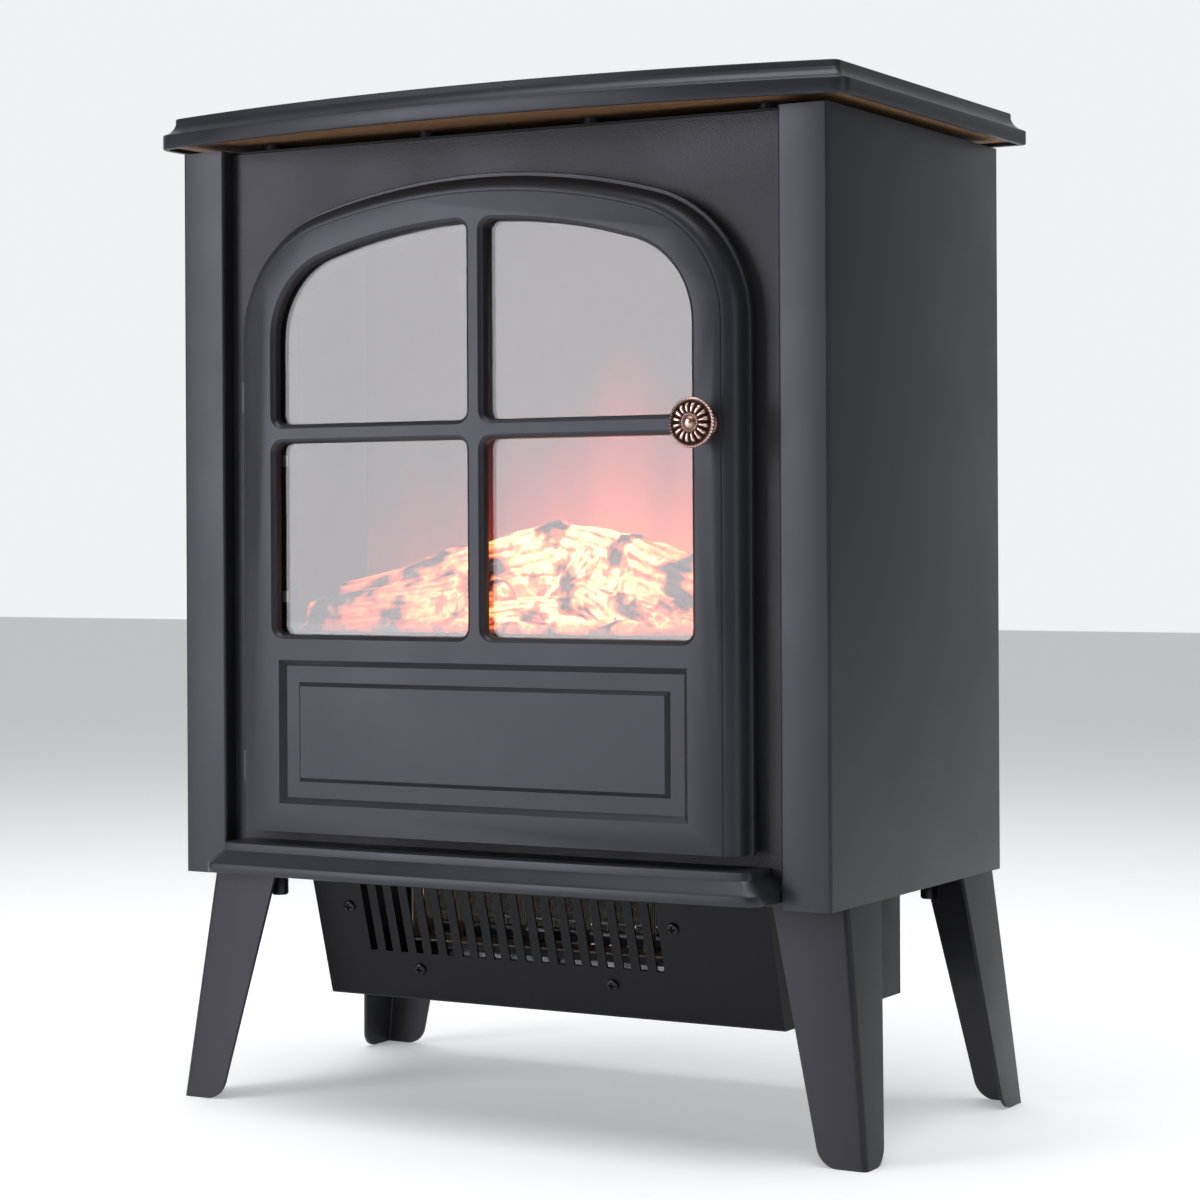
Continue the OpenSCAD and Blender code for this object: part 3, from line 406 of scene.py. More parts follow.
def span_of(tree, source, low, high, lo=0.35, hi=0.65):
    """Stretches a value from lo..hi to low..high."""
    made = tree.nodes.new("ShaderNodeMapRange")
    for key_name, value in (("From Min", lo), ("From Max", hi), ("To Min", low), ("To Max", high)):
        made.inputs[key_name].default_value = value
    tree.links.new(source, made.inputs["Value"])
    return made.outputs["Result"]


def bump_of(tree, shader, height, depth, strength=1.0):
    """A bump of the given depth in metres into the shader's normal."""
    made = node(tree, "ShaderNodeBump", Strength=strength, Distance=depth)
    tree.links.new(height, made.inputs["Height"])
    tree.links.new(made.outputs["Normal"], shader.inputs["Normal"])
    return made


# %% [markdown]
# ## Coats and plastics
#
# Powder coat, satin coat, black plastic and blackened steel are one recipe
# with different numbers: how fine the peel is, how deep, and how it shines.

# %% Coats and plastics
def coat(name, colour, peel=900, depth=0.00006, rough=(0.40, 0.52), vary=0.10, shine=0.5, metallic=0.0,
         sheen=(0.95, 0.95, 1.0)):
    """A satin coat: peel bump, cloudy roughness, slight drift of colour."""
    mat, tree, bsdf = new_material(name)
    cloud = noise_of(tree, 14, 4)
    peel_noise = noise_of(tree, peel, 2, 0.6)
    low = tuple(c * (1 - vary) for c in colour)
    high = tuple(min(1, c * (1 + vary)) for c in colour)
    tint = ramp_of(tree, cloud.outputs["Fac"], [(0.35, low), (0.65, high)])
    tree.links.new(tint.outputs["Color"], bsdf.inputs["Base Color"])
    tree.links.new(span_of(tree, cloud.outputs["Fac"], *rough), bsdf.inputs["Roughness"])
    bump_of(tree, bsdf, peel_noise.outputs["Fac"], depth)
    bsdf.inputs["Metallic"].default_value = metallic
    bsdf.inputs["Specular IOR Level"].default_value = shine
    bsdf.inputs["Specular Tint"].default_value = (*sheen, 1)
    return mat


def brushed(name, colour, rough=(0.28, 0.45), stretch=(40, 900, 900)):
    """Bare metal with fine rolling marks along x."""
    mat, tree, bsdf = new_material(name)
    place = tree.nodes.new("ShaderNodeTexCoord")
    mapping = tree.nodes.new("ShaderNodeMapping")
    mapping.inputs["Scale"].default_value = stretch
    marks = node(tree, "ShaderNodeTexNoise", Scale=1.0, Detail=4.0)
    tree.links.new(place.outputs["Object"], mapping.inputs["Vector"])
    tree.links.new(mapping.outputs["Vector"], marks.inputs["Vector"])
    tint = ramp_of(tree, marks.outputs["Fac"], [(0.3, tuple(c * 0.85 for c in colour)), (0.7, colour)])
    tree.links.new(tint.outputs["Color"], bsdf.inputs["Base Color"])
    tree.links.new(span_of(tree, marks.outputs["Fac"], *rough), bsdf.inputs["Roughness"])
    bump_of(tree, bsdf, marks.outputs["Fac"], 0.00002)
    bsdf.inputs["Metallic"].default_value = 1.0
    return mat


panel_coat = coat("panel_powder_coat", (0.022, 0.0222, 0.0255), peel=1000,
                  depth=0.00016, rough=(0.40, 0.50), shine=0.42,
                  sheen=(0.90, 0.91, 1.0))
trim_coat = coat("trim_satin_coat", (0.021, 0.0215, 0.0262), peel=2600,
                 depth=0.00003, rough=(0.32, 0.40), shine=0.45,
                 sheen=(0.88, 0.90, 1.0))
leg_coat = coat("leg_powder_coat", (0.019, 0.019, 0.023), peel=1300,
                depth=0.00006, rough=(0.34, 0.44), shine=0.4,
                sheen=(0.90, 0.90, 1.0))
black_coat = coat("black_satin_coat", (0.005, 0.005, 0.0055), peel=1500,
                  depth=0.00004, rough=(0.36, 0.48), shine=0.22)
black_plastic = coat("black_grained_plastic", (0.016, 0.016, 0.018), peel=700,
                     depth=0.00006, rough=(0.4, 0.55))
key_plastic = coat("black_gloss_plastic", (0.012, 0.012, 0.013), peel=300, depth=0.00001, rough=(0.16, 0.24))
red_plastic = coat("red_gloss_plastic", (0.45, 0.015, 0.012), peel=300, depth=0.00001, rough=(0.16, 0.24))
screw_black = coat("blackened_steel", (0.028, 0.028, 0.030), peel=2500,
                   depth=0.00002, rough=(0.24, 0.34), metallic=0.7)
rubber_black = coat("matt_rubber", (0.018, 0.018, 0.018), peel=900, depth=0.00008, rough=(0.7, 0.82))
magnet_case = coat("magnet_case", (0.035, 0.033, 0.032), peel=900, depth=0.00004, rough=(0.5, 0.6))
pot_case = coat("control_case", (0.03, 0.06, 0.22), peel=900, depth=0.00003, rough=(0.3, 0.4))
nylon = coat("ivory_nylon", (0.70, 0.66, 0.55), peel=500, depth=0.00003, rough=(0.35, 0.45))
solder_mask = coat("green_solder_mask", (0.02, 0.11, 0.04), peel=400, depth=0.00004, rough=(0.2, 0.3))
mica_board = coat("mica_board", (0.34, 0.27, 0.18), peel=350, depth=0.00008, rough=(0.5, 0.7), vary=0.35)
zinc_plate = brushed("zinc_plate", (0.62, 0.62, 0.63))
galvanised = brushed("galvanised_sheet", (0.46, 0.47, 0.48), rough=(0.35, 0.55), stretch=(60, 60, 60))
foil = brushed("bright_foil", (0.86, 0.86, 0.88), rough=(0.08, 0.2))
mirror_film = brushed("mirror_film", (0.88, 0.88, 0.9), rough=(0.03, 0.08))
wire_metal = brushed("resistance_wire", (0.30, 0.26, 0.22), rough=(0.3, 0.5), stretch=(300, 300, 40))


# %% [markdown]
# ## Hardboard, copper, glass
#
# The lid's liner is bare hardboard: brown, with short fibres. The knob is
# antique copper, which is dark in the hollows and rubbed bright on the high
# points: the Pointiness of the surface would do it in the render alone, so
# the piece carries its own `height` attribute instead, which the export can
# bake. Glass is left clear and smooth, and does its work by reflection.

# %% Hardboard, copper and glass
def hardboard():
    """Brown fibre board: two noises, one stretched into short fibres."""
    mat, tree, bsdf = new_material("brown_hardboard")
    fibres = noise_of(tree, 420, 6, 0.7)
    tint = ramp_of(tree, fibres.outputs["Fac"], [(0.3, (0.10, 0.045, 0.018)), (0.7, (0.30, 0.155, 0.07))])
    tree.links.new(tint.outputs["Color"], bsdf.inputs["Base Color"])
    tree.links.new(span_of(tree, fibres.outputs["Fac"], 0.6, 0.8), bsdf.inputs["Roughness"])
    bump_of(tree, bsdf, fibres.outputs["Fac"], 0.00015)
    return mat


def antique_copper():
    """Copper whose colour and roughness follow the piece's height attribute."""
    mat, tree, bsdf = new_material("antique_copper")
    high = tree.nodes.new("ShaderNodeAttribute")
    high.attribute_name = "height"
    speck = noise_of(tree, 1500, 3)
    mixed = node(tree, "ShaderNodeMath")
    mixed.operation = "MULTIPLY_ADD"
    mixed.inputs[1].default_value = 0.25
    tree.links.new(speck.outputs["Fac"], mixed.inputs[0])
    tree.links.new(high.outputs["Fac"], mixed.inputs[2])
    tint = ramp_of(tree, mixed.outputs[0], [(0.18, (0.022, 0.012, 0.010)), (0.50, (0.28, 0.16, 0.125)),
                                           (0.92, (0.86, 0.62, 0.54))])
    tree.links.new(tint.outputs["Color"], bsdf.inputs["Base Color"])
    tree.links.new(span_of(tree, mixed.outputs[0], 0.5, 0.22, 0.1, 0.9), bsdf.inputs["Roughness"])
    bump_of(tree, bsdf, speck.outputs["Fac"], 0.00003)
    bsdf.inputs["Metallic"].default_value = 1.0
    return mat


def float_glass():
    """Clear glass with a trace of smear in its roughness."""
    mat, tree, bsdf = new_material("float_glass")
    smear = noise_of(tree, 9, 3)
    tree.links.new(span_of(tree, smear.outputs["Fac"], 0.0, 0.012), bsdf.inputs["Roughness"])
    bsdf.inputs["Base Color"].default_value = (0.97, 0.985, 0.98, 1)
    bsdf.inputs["Transmission Weight"].default_value = 1.0
    bsdf.inputs["IOR"].default_value = 1.5
    return mat


board = hardboard()
copper = antique_copper()
clear_glass = float_glass()


# %% [markdown]
# ## Fire
#
# The log bed is a shell of orange resin painted black where a real log would
# be charred, and lamps inside make the thin places glow. The light comes from
# the middle of the bed and dies away to the sides, so the glow here is a
# noise pattern times a soft hill along x. The picture above it is a screen on
# which a turning spindle throws light: tall soft streaks that fade upwards.

# %% Ember and flame finishes
def x_and_z(tree):
    """Object coordinates split into x, y, z."""
    place = tree.nodes.new("ShaderNodeTexCoord")
    parts = tree.nodes.new("ShaderNodeSeparateXYZ")
    tree.links.new(place.outputs["Object"], parts.inputs["Vector"])
    return place, parts


def math_of(tree, operation, a, b=None, c=None):
    """One Math node; a, b and c are sockets or numbers."""
    made = tree.nodes.new("ShaderNodeMath")
    made.operation = operation
    for socket, value in zip(made.inputs, (a, b, c)):
        if value is None:
            continue
        if isinstance(value, (int, float)):
            socket.default_value = value
        else:
            tree.links.new(value, socket)
    return made.outputs[0]


def ember(name, glow, centre_x=0.022, spread=0.085):
    """Resin log: glowing skin, black chars and thin hot cracks, brightest near centre_x."""
    mat, tree, bsdf = new_material(name)
    place, parts = x_and_z(tree)
    lumps = noise_of(tree, 46, 3, 0.55)
    fine = noise_of(tree, 230, 4, 0.6)
    bend = tree.nodes.new("ShaderNodeVectorMath")
    bend.operation = "SCALE"
    bend.inputs["Scale"].default_value = 0.012
    tree.links.new(noise_of(tree, 90, 2).outputs["Color"], bend.inputs[0])
    moved = tree.nodes.new("ShaderNodeVectorMath")
    tree.links.new(place.outputs["Object"], moved.inputs[0])
    tree.links.new(bend.outputs["Vector"], moved.inputs[1])
    cells = node(tree, "ShaderNodeTexVoronoi", Scale=88.0)
    cells.feature = "DISTANCE_TO_EDGE"
    tree.links.new(moved.outputs["Vector"], cells.inputs["Vector"])
    crack = span_of(tree, cells.outputs["Distance"], 1.0, 0.0, 0.0, 0.07)
    relief = tree.nodes.new("ShaderNodeAttribute")
    relief.attribute_name = "height"
    ridge = span_of(tree, relief.outputs["Fac"], 0.0, 0.75, 0.22, 0.85)
    skin = span_of(tree, lumps.outputs["Fac"], 1.0, 0.12, 0.50, 0.60)
    off = math_of(tree, "DIVIDE", math_of(tree, "SUBTRACT", parts.outputs["X"], centre_x), spread)
    hill = math_of(tree, "DIVIDE", 1.0, math_of(tree, "MULTIPLY_ADD", off, off, 1.0))
    heat = math_of(tree, "MULTIPLY_ADD", crack, 0.22, ridge)
    heat = math_of(tree, "MULTIPLY_ADD", fine.outputs["Fac"], 0.9, math_of(tree, "SUBTRACT", heat, 0.34))
    heat = math_of(tree, "MULTIPLY", heat, skin)
    hot = math_of(tree, "MULTIPLY", heat, math_of(tree, "MULTIPLY_ADD", hill, 0.74, 0.36))
    tint = ramp_of(tree, hot, [(0.0, (0.02, 0.003, 0.002)), (0.22, (0.55, 0.045, 0.018)), (0.45, (1.0, 0.15, 0.05)),
                               (0.70, (1.0, 0.34, 0.09)), (0.95, (1.0, 0.72, 0.30))])
    tree.links.new(tint.outputs["Color"], bsdf.inputs["Emission Color"])
    tree.links.new(span_of(tree, hot, 0.0, glow, 0.05, 0.95), bsdf.inputs["Emission Strength"])
    body = ramp_of(tree, skin, [(0.05, (0.035, 0.036, 0.042)), (0.5, (0.45, 0.10, 0.035))])
    tree.links.new(body.outputs["Color"], bsdf.inputs["Base Color"])
    tree.links.new(span_of(tree, fine.outputs["Fac"], 0.3, 0.6), bsdf.inputs["Roughness"])
    bump_of(tree, bsdf, heat, 0.0014)
    return mat


def flame_picture(low, high):
    """Projection screen: streaks along z that fade from low to high, in metres."""
    mat, tree, bsdf = new_material("flame_picture")
    place, parts = x_and_z(tree)
    stretch = tree.nodes.new("ShaderNodeMapping")
    stretch.inputs["Scale"].default_value = (26, 1, 3.2)
    tree.links.new(place.outputs["Object"], stretch.inputs["Vector"])
    streaks = node(tree, "ShaderNodeTexNoise", Scale=1.0, Detail=3.0, Roughness=0.5)
    tree.links.new(stretch.outputs["Vector"], streaks.inputs["Vector"])
    up = math_of(tree, "DIVIDE", math_of(tree, "SUBTRACT", parts.outputs["Z"], low), high - low)
    off = math_of(tree, "DIVIDE", math_of(tree, "SUBTRACT", parts.outputs["X"], 0.04), 0.07)
    hill = math_of(tree, "DIVIDE", 1.0, math_of(tree, "ADD", math_of(tree, "MULTIPLY", off, off), 1.0))
    reach = math_of(tree, "MULTIPLY_ADD", streaks.outputs["Fac"], 0.9, math_of(tree, "MULTIPLY", hill, 0.55))
    flame = math_of(tree, "SUBTRACT", reach, math_of(tree, "MULTIPLY", up, 1.5))
    tint = ramp_of(tree, flame, [(0.10, (0.3, 0.004, 0.0)), (0.45, (0.8, 0.02, 0.008)),
                                 (0.75, (1.0, 0.07, 0.025)), (1.0, (1.0, 0.22, 0.06))])
    tree.links.new(tint.outputs["Color"], bsdf.inputs["Emission Color"])
    middle = math_of(tree, "MINIMUM", math_of(tree, "MULTIPLY", hill, 2.0), 1.0)
    power = math_of(tree, "MULTIPLY", span_of(tree, flame, 0.0, 0.68, 0.05, 1.0), middle)
    tree.links.new(power, bsdf.inputs["Emission Strength"])
    bsdf.inputs["Base Color"].default_value = (0.05, 0.04, 0.04, 1)
    grain = noise_of(tree, 1200, 2)
    tree.links.new(span_of(tree, grain.outputs["Fac"], 0.5, 0.7), bsdf.inputs["Roughness"])
    return mat


screen_lo, screen_hi = span("flame_screen")
ember_log = ember("ember_resin", 1.6)
flame = flame_picture(screen_lo[2] * MM + 0.05, screen_hi[2] * MM)

# %% [markdown]
# ## Which part gets which finish
#
# The record names a material slot for every engineering part. Each slot gets
# one finish here, and every part that stays in view takes the finish of its
# slot, so nothing is left plain.

# %% Finishes by slot
FINISH = {
    "body_steel": panel_coat, "black_steel": black_coat, "moulding": trim_coat, "leg_steel": leg_coat,
    "hardboard": board, "black_screw": screw_black, "zinc": zinc_plate, "galvanised": galvanised,
    "spindle_steel": foil, "magnet": magnet_case, "copper": copper, "glass": clear_glass,
    "embers": ember_log, "screen": flame, "mirror": mirror_film, "circuit": solder_mask,
    "control_black": black_plastic, "switch_red": red_plastic, "switch_black": key_plastic,
    "pot_blue": pot_case, "mica": mica_board, "wire": wire_metal, "terminal": nylon, "rubber": rubber_black,
}
SLOT_OF = {entry["node"]: entry["material_slot"] for entry in frame["record"]["subparts"]}
for name, part in frame["nodes"].items():
    part.data.materials.clear()
    part.data.materials.append(FINISH[SLOT_OF[name]])
print(len(SLOT_OF), "parts have finishes")


def refined(name, width=0.3, sharp=30, body="body"):
    """A merged copy of a part, shaded by angle and with rounded edges, which stands for it."""
    mesh = frame["nodes"][name].data.copy()
    mesh.name = name + "_surface"
    for extra in [a.name for a in mesh.attributes if a.name == "custom_normal"]:
        mesh.attributes.remove(mesh.attributes[extra])
    bm = bmesh.new()
    bm.from_mesh(mesh)
    bmesh.ops.remove_doubles(bm, verts=bm.verts, dist=2e-6)
    bmesh.ops.dissolve_limit(bm, angle_limit=math.radians(0.4), verts=bm.verts, edges=bm.edges)
    bmesh.ops.recalc_face_normals(bm, faces=bm.faces)
    bm.to_mesh(mesh)
    bm.free()
    mesh.shade_smooth()
    mesh.set_sharp_from_angle(angle=math.radians(sharp))
    piece = bpy.data.objects.new(name + "_surface", mesh)
    bpy.context.scene.collection.objects.link(piece)
    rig.ride(piece, body)
    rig.slot(piece, SLOT_OF[name])
    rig.replaces(piece, name)
    if width:
        bevel(piece, width)
    return piece


# %% [markdown]
# ## The lid
#
# A cast lid: a low fascia, a hollow slope running up to a small vertical
# step, and a flat top. Its plan has straight sides and a front that bows out
# to the middle. Half width w and bow b fix the bow's radius by
# R = (w² + b²) / 2b. The lid is hollow, so the same rings run on down the
# inside.

# %% Lid
def bowed(w, back, front, bow, r, corner=9, arc=52):
    """Plan outline: straight back and sides, corner arcs of radius r, front arc of radius R."""
    R = (w * w + bow * bow) / (2 * bow)
    middle = front + R
    cx = w - r
    cy = middle - math.sqrt((R - r) ** 2 - cx ** 2)
    u = math.atan2(cy - middle, cx)
    left = np.linspace(np.pi, np.pi - u, corner)
    sweep = np.linspace(np.pi - u, 2 * np.pi + u, arc)[1:-1]
    right = np.linspace(u, 0, corner)
    return np.vstack([
        [[w, back], [-w, back]],
        np.column_stack([-cx + r * np.cos(left), cy + r * np.sin(left)]),
        np.column_stack([R * np.cos(sweep), middle + R * np.sin(sweep)]),
        np.column_stack([cx + r * np.cos(right), cy + r * np.sin(right)]),
    ])


def level(outline, z):
    """A plan outline as a ring at height z."""
    return np.column_stack([outline, np.full(len(outline), z)])


lid_lo, lid_hi = span("top_lid")
LID_W, LID_Z, LID_TOP = lid_hi[0], lid_lo[2] + 2.25 - BASE, lid_hi[2] - BASE
LID_BACK, LID_FRONT = lid_hi[1] - FRONT, lid_lo[1] - FRONT


def lid_ring(inset, z, bow=25):
    """The lid's outline moved in by inset, at height z above its lip."""
    w = LID_W - inset
    return level(bowed(w, LID_BACK - inset, LID_FRONT + inset, bow * w / LID_W, 9 - min(inset, 5)), LID_Z + z)


def lid_piece():
    """Rings from the inner ceiling down to the lip, then up the fascia, cove and step to the top."""
    high = LID_TOP - LID_Z
    t = np.linspace(0, np.pi / 2, 9)
    cove = [(0.6 + 5.4 * (0.3 * v / (np.pi / 2) + 0.7 * math.sin(v)),
             8.2 + 5.4 * (0.3 * v / (np.pi / 2) + 0.7 * (1 - math.cos(v)))) for v in t]
    inner = [(9.0, high - 2.6), (8.8, 9.4), (3.2, 5.6), (3.0, 0.3)]
    outer = ([(1.3, 0.0), (0.35, 0.35), (0.0, 1.2), (0.0, 7.4), (0.2, 7.9)] + cove
             + [(6.2, 14.0), (6.2, high - 0.8), (6.45, high - 0.25), (7.0, high)])
    parts = [loft([lid_ring(o, z) for o, z in inner + outer])]
    for x in (-150, -50, 50, 150):
        for y in (24, 190):
            parts.append(tube((x, y, LID_Z - 2.2), (x, y, LID_TOP - 2.3), 5, 32, 0.4))
    return solid("lid", parts, "body", "moulding", sharp=34)


lid = lid_piece()
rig.replaces(lid, "top_lid")
print("lid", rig.box("top_lid"))


# %% [markdown]
# ## The hearth ledge
#
# The little shelf in front of the door repeats the lid's language upside
# down: a fascia at the bottom, a slope that narrows, an upright nose, all on
# a gentler bow, with the same radii at its ends.

# %% Ledge
def ledge_piece():
    """Rings up the inside, round the foot and up the fascia, slope and nose; then a back wall and posts."""
    lo, hi = span("hearth_ledge")
    w0, out = hi[0], FRONT - lo[1]
    back, z0, high = hi[1] - FRONT, lo[2] - BASE, hi[2] - lo[2]

    def ring(inset, z, r):
        w = w0 - inset
        return level(bowed(w, back, -(out - inset * 0.78), 4.5 * w / w0, r, 8, 30), z0 + z)

    inner = [(11.8, high - 2.6, 4), (3.4, 3.8, 5), (3.0, 0.2, 5.4)]
    outer = [(1.3, 0, 7.6), (0.35, 0.25, 8.2), (0, 1.1, 8.4), (0, 4.6, 8.4), (0.4, 5.3, 8.2), (1.6, 6.3, 7.6),
             (4.6, 8.9, 6.2), (7.4, 11.0, 5.2), (8.1, 11.8, 5), (8.1, high - 1.2, 5), (8.4, high - 0.4, 4.8), (9.2, high, 4.4)]
    parts = [loft([ring(*stop) for stop in inner + outer]),
             block((-w0 + 13, back - 2.6, z0 + 0.1), (w0 - 13, back - 0.02, z0 + high - 1.2))]
    for x in (-140, -48, 48, 140):
        parts.append(tube((x, -12, z0 + 7), (x, back - 0.3, z0 + 7), 3.2))
    return solid("ledge", parts, "body", "moulding", sharp=34)


ledge = ledge_piece()
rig.replaces(ledge, "hearth_ledge")


# %% [markdown]
# ## Folded sheet
#
# The side sheets are bent from one piece each: a return into the front, the
# front strip, the side and a rear flange. A bend is drawn by turning the
# unit tangent from one direction to the next while the centre line runs
# round an arc; half the thickness each way gives both faces, and the round
# fold catches the light as a thin line.

# %% Side sheets
def folded(corners, radius, thick, steps=7):
    """Plan outline of a sheet folded at right angles along a line of corners."""
    c = np.array(corners, float)
    d = np.diff(c, axis=0)
    d /= np.linalg.norm(d, axis=1)[:, None]
    points, normals = [c[0]], [d[0]]
    for i in range(1, len(c) - 1):
        centre = c[i] + radius * (d[i] - d[i - 1])
        for a in np.linspace(0, np.pi / 2, steps):
            points.append(centre + radius * (math.sin(a) * d[i - 1] - math.cos(a) * d[i]))
            normals.append(math.cos(a) * d[i - 1] + math.sin(a) * d[i])
    points.append(c[-1])
    normals.append(d[-1])
    p, t = np.array(points), np.array(normals)
    side = np.column_stack([-t[:, 1], t[:, 0]]) * thick / 2
    return np.vstack([p + side, (p - side)[::-1]])


def side_sheet(name, sign):
    """The side sheet to the right (sign 1) or the left (-1)."""
    h, deep, t = TOP - BASE, BACK - FRONT, 1.2
    inner = STRIP + t / 2
    outline = folded([(inner, 8.3), (inner, t / 2), (HALF - t / 2, t / 2), (HALF - t / 2, deep - t / 2),
                      (HALF - 17, deep - t / 2)], 1.1, t)
    outline[:, 0] *= sign
    piece = solid("side_sheet_" + name, [loft([level(outline, z) for z in (0, h)])],
                  "body", "body_steel", sharp=40)
    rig.replaces(piece, "side_wrap_" + name)
    return piece


sheets = [side_sheet("right", 1), side_sheet("left", -1)]


# %% [markdown]
# ## Legs
#
# Each leg is one folded angle that leans outwards and narrows towards the
# floor. Its free edges run to a rounded corner at the foot: near the floor
# the width loses r - sqrt(r² - (r - h)²), a quarter circle of radius r.

# %% Legs
def leg_piece(name, sx, front):
    """One leg: plan sections of an angle from the body down to the floor, and its top flange."""
    h, thick, fold = BASE, 2.0, 3.0
    deep = BACK - FRONT
    if front:
        top, foot, sy = (HALF - 2.1, 22.6), (HALF + 12.3, 12.2), 1
        wide, side = (25, 41), (20.5, 40)
    else:
        top, foot, sy = (HALF - 2.1, -(deep - 4.8)), (HALF + 12.3, -(deep - 0.7)), -1
        wide, side = (25, 41), (26, 42)
    low = 9.0 * (1 - np.cos(np.linspace(0, np.pi / 2, 10)))
    heights = np.concatenate([low, [h * 0.5, h - 0.15]])
    arc = np.linspace(0, np.pi / 2, 7)
    rings = []
    for z in heights:
        t = z / (h - 0.15)
        x = foot[0] + (top[0] - foot[0]) * t
        y = foot[1] + (top[1] - foot[1]) * t
        lost = 9.0 - math.sqrt(max(0.0, 81.0 - (9.0 - min(z, 9.0)) ** 2))
        wf = wide[0] + (wide[1] - wide[0]) * t - lost
        ws = side[0] + (side[1] - side[0]) * t - lost
        outer = np.column_stack([x - fold + fold * np.sin(arc), y + fold - fold * np.cos(arc)])
        inner = np.column_stack([x - fold + (fold - thick) * np.sin(arc),
                                 y + fold - (fold - thick) * np.cos(arc)])
        plan = np.vstack([[[x - wf, y]], outer, [[x, y + ws], [x - thick, y + ws]],
                          inner[::-1], [[x - wf, y + thick]]])
        rings.append(level(plan, z - h))
    flange = block((top[0] - wide[1] + 1, top[1] + 1, -2.15), (top[0] - 1, top[1] + side[1] - 1, -0.2))
    parts = [loft(rings), flange]
    parts = [(np.asarray(p) * [sx, sy, 1], f) for p, f in parts]
    piece = solid("leg_" + name + "_surface", parts, "body", "leg_steel", sharp=34)
    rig.replaces(piece, "leg_" + name)
    return bevel(piece, 0.3, 2, 50)


legs = [leg_piece("front_right", 1, True), leg_piece("front_left", -1, True),
        leg_piece("rear_right", 1, False), leg_piece("rear_left", -1, False)]


# %% [markdown]
# ## Panels and the door
#
# These shapes are already exact in the engineering model: the door with its
# round moulding, two rows of windows and sunk lower panel, the front and
# rear panels and the heater box. A merged copy with every sharp edge rounded
# by a few tenths of a millimetre is all they need, because it is the rounded
# edge that shows a coat's thickness.

# %% Door, panels, boxes
door = refined("door_shell", 0.45, 28, "door")
door.data.materials.clear()
door.data.materials.append(trim_coat)
plates = [refined("front_panel", 0.25), refined("rear_panel", 0.25),
          refined("base_plate", 0.25), refined("top_frame", 0.25),
          refined("heater_box", 0.25), refined("control_panel", 0.4), refined("firebox_liner", 0.2)]
small = [refined("switch_bodies", 0.2), refined("leg_knobs", 0.4),
         refined("cable_gland", 0.3), refined("terminal_block", 0.3),
         refined("hinge_tabs", 0.15), refined("glass_clips", 0.1, 30, "door"), refined("door_magnet", 0.3)]
keys = [refined("switch_flame", 0.5, 30, "rocker_flame"), refined("switch_low", 0.5, 30, "rocker_low"),
        refined("switch_high", 0.5, 30, "rocker_high"), refined("flame_dial", 0.25, 30, "dial_flame"),
        refined("thermostat_dial", 0.25, 30, "dial_thermostat")]


# %% [markdown]
# ## The knob
#
# A turned copper knob with a pressed rosette: one grid over radius and angle.
# Sixteen petals raise the face between two radii, a bead ring stands round
# the middle, and a rope runs round the rim, its strands slanting because the
# phase of the angle also depends on the radius. The same relief, from 0 in
# the hollows to 1 on the high points, is kept as the height attribute that
# the copper finish reads.

# %% Knob
def knob_piece():
    """Profile (radius, distance from the door face) turned round y, with relief added to the front."""
    r_rim = (knob_hi[0] - knob_lo[0]) / 2
    face = door_lo[1] - FRONT
    back = np.array([[0.05, 0.0], [6.8, 0.0], [7.0, 0.7], [6.6, 1.5], [5.0, 2.6], [4.2, 4.2], [4.0, 6.2],
                     [4.6, 8.4], [6.4, 10.6],
                     [9.2, 12.2], [r_rim - 0.9, 13.0], [r_rim - 0.15, 13.4],
                     [r_rim, 14.1], [r_rim - 0.25, 14.8], [r_rim - 0.9, 15.2]])
    radii = np.concatenate([np.linspace(r_rim - 1.1, r_rim - 2.6, 7), np.linspace(r_rim - 2.9, 4.6, 16),
                            np.linspace(4.3, 0.05, 14)])
    base = np.interp(radii, [0, 1.2, 2.4, 3.2, 3.6, 4.6, 5.0, 5.6, 8.2,
                              r_rim - 2.6, r_rim - 2.2, r_rim - 1.1],
                     [18.35, 18.2, 17.7, 16.9, 16.5, 16.5, 16.3, 16.3, 16.1, 15.3, 14.9, 15.3])
    r = np.concatenate([back[:, 0], radii])
    h = np.concatenate([back[:, 1], base])
    on_face = np.concatenate([np.zeros(len(back)), np.ones(len(radii))])
    turns = np.linspace(0, 2 * np.pi, 528, endpoint=False)
    R, A = np.meshgrid(r, turns, indexing="ij")
    F = on_face[:, None] * np.ones_like(A)
    window = lambda a, b, soft: 1 / (1 + np.exp(-(R - a) / soft)) / (1 + np.exp((R - b) / soft))
    petal = (np.clip(1.25 - 2.6 * np.abs((A * 8 / np.pi) % 1 - 0.5) ** 1.3 * 2, 0, 1)
             * window(5.2, r_rim - 2.9, 0.2))
    bead = (0.5 + 0.5 * np.cos(24 * A)) * np.exp(-((R - 4.1) / 0.42) ** 2)
    near = np.exp(-((R - (r_rim - 0.75)) / 0.85) ** 2)
    strand = (0.5 + 0.5 * np.cos(44 * A + 2.2 * (R - r_rim) + 1.2 * (F - 0.5))) * near
    relief = F * (1.0 * petal + 0.6 * bead)
    out = 0.85 * (strand - 0.5) * near
    turned = R + out * (R > r_rim - 2.2)
    depth = h[:, None] + relief + F * out
    pts = np.stack([KNOB[0] + turned * np.cos(A), face - depth, KNOB[2] - BASE + turned * np.sin(A)], -1)
    piece = solid("knob", [loft(pts)], "door", "copper", sharp=60)
    lift = np.clip(0.02 + 0.8 * (petal * F + bead * F) + 0.95 * strand ** 1.5
                   + 0.85 * np.exp(-(R / 3.0) ** 2) * F
                   + 0.45 * (1 - F) * (1 - np.exp(-((h[:, None] - 6) / 3.5) ** 2)), 0, 1)
    place_height(piece, pts, lift)
    return piece


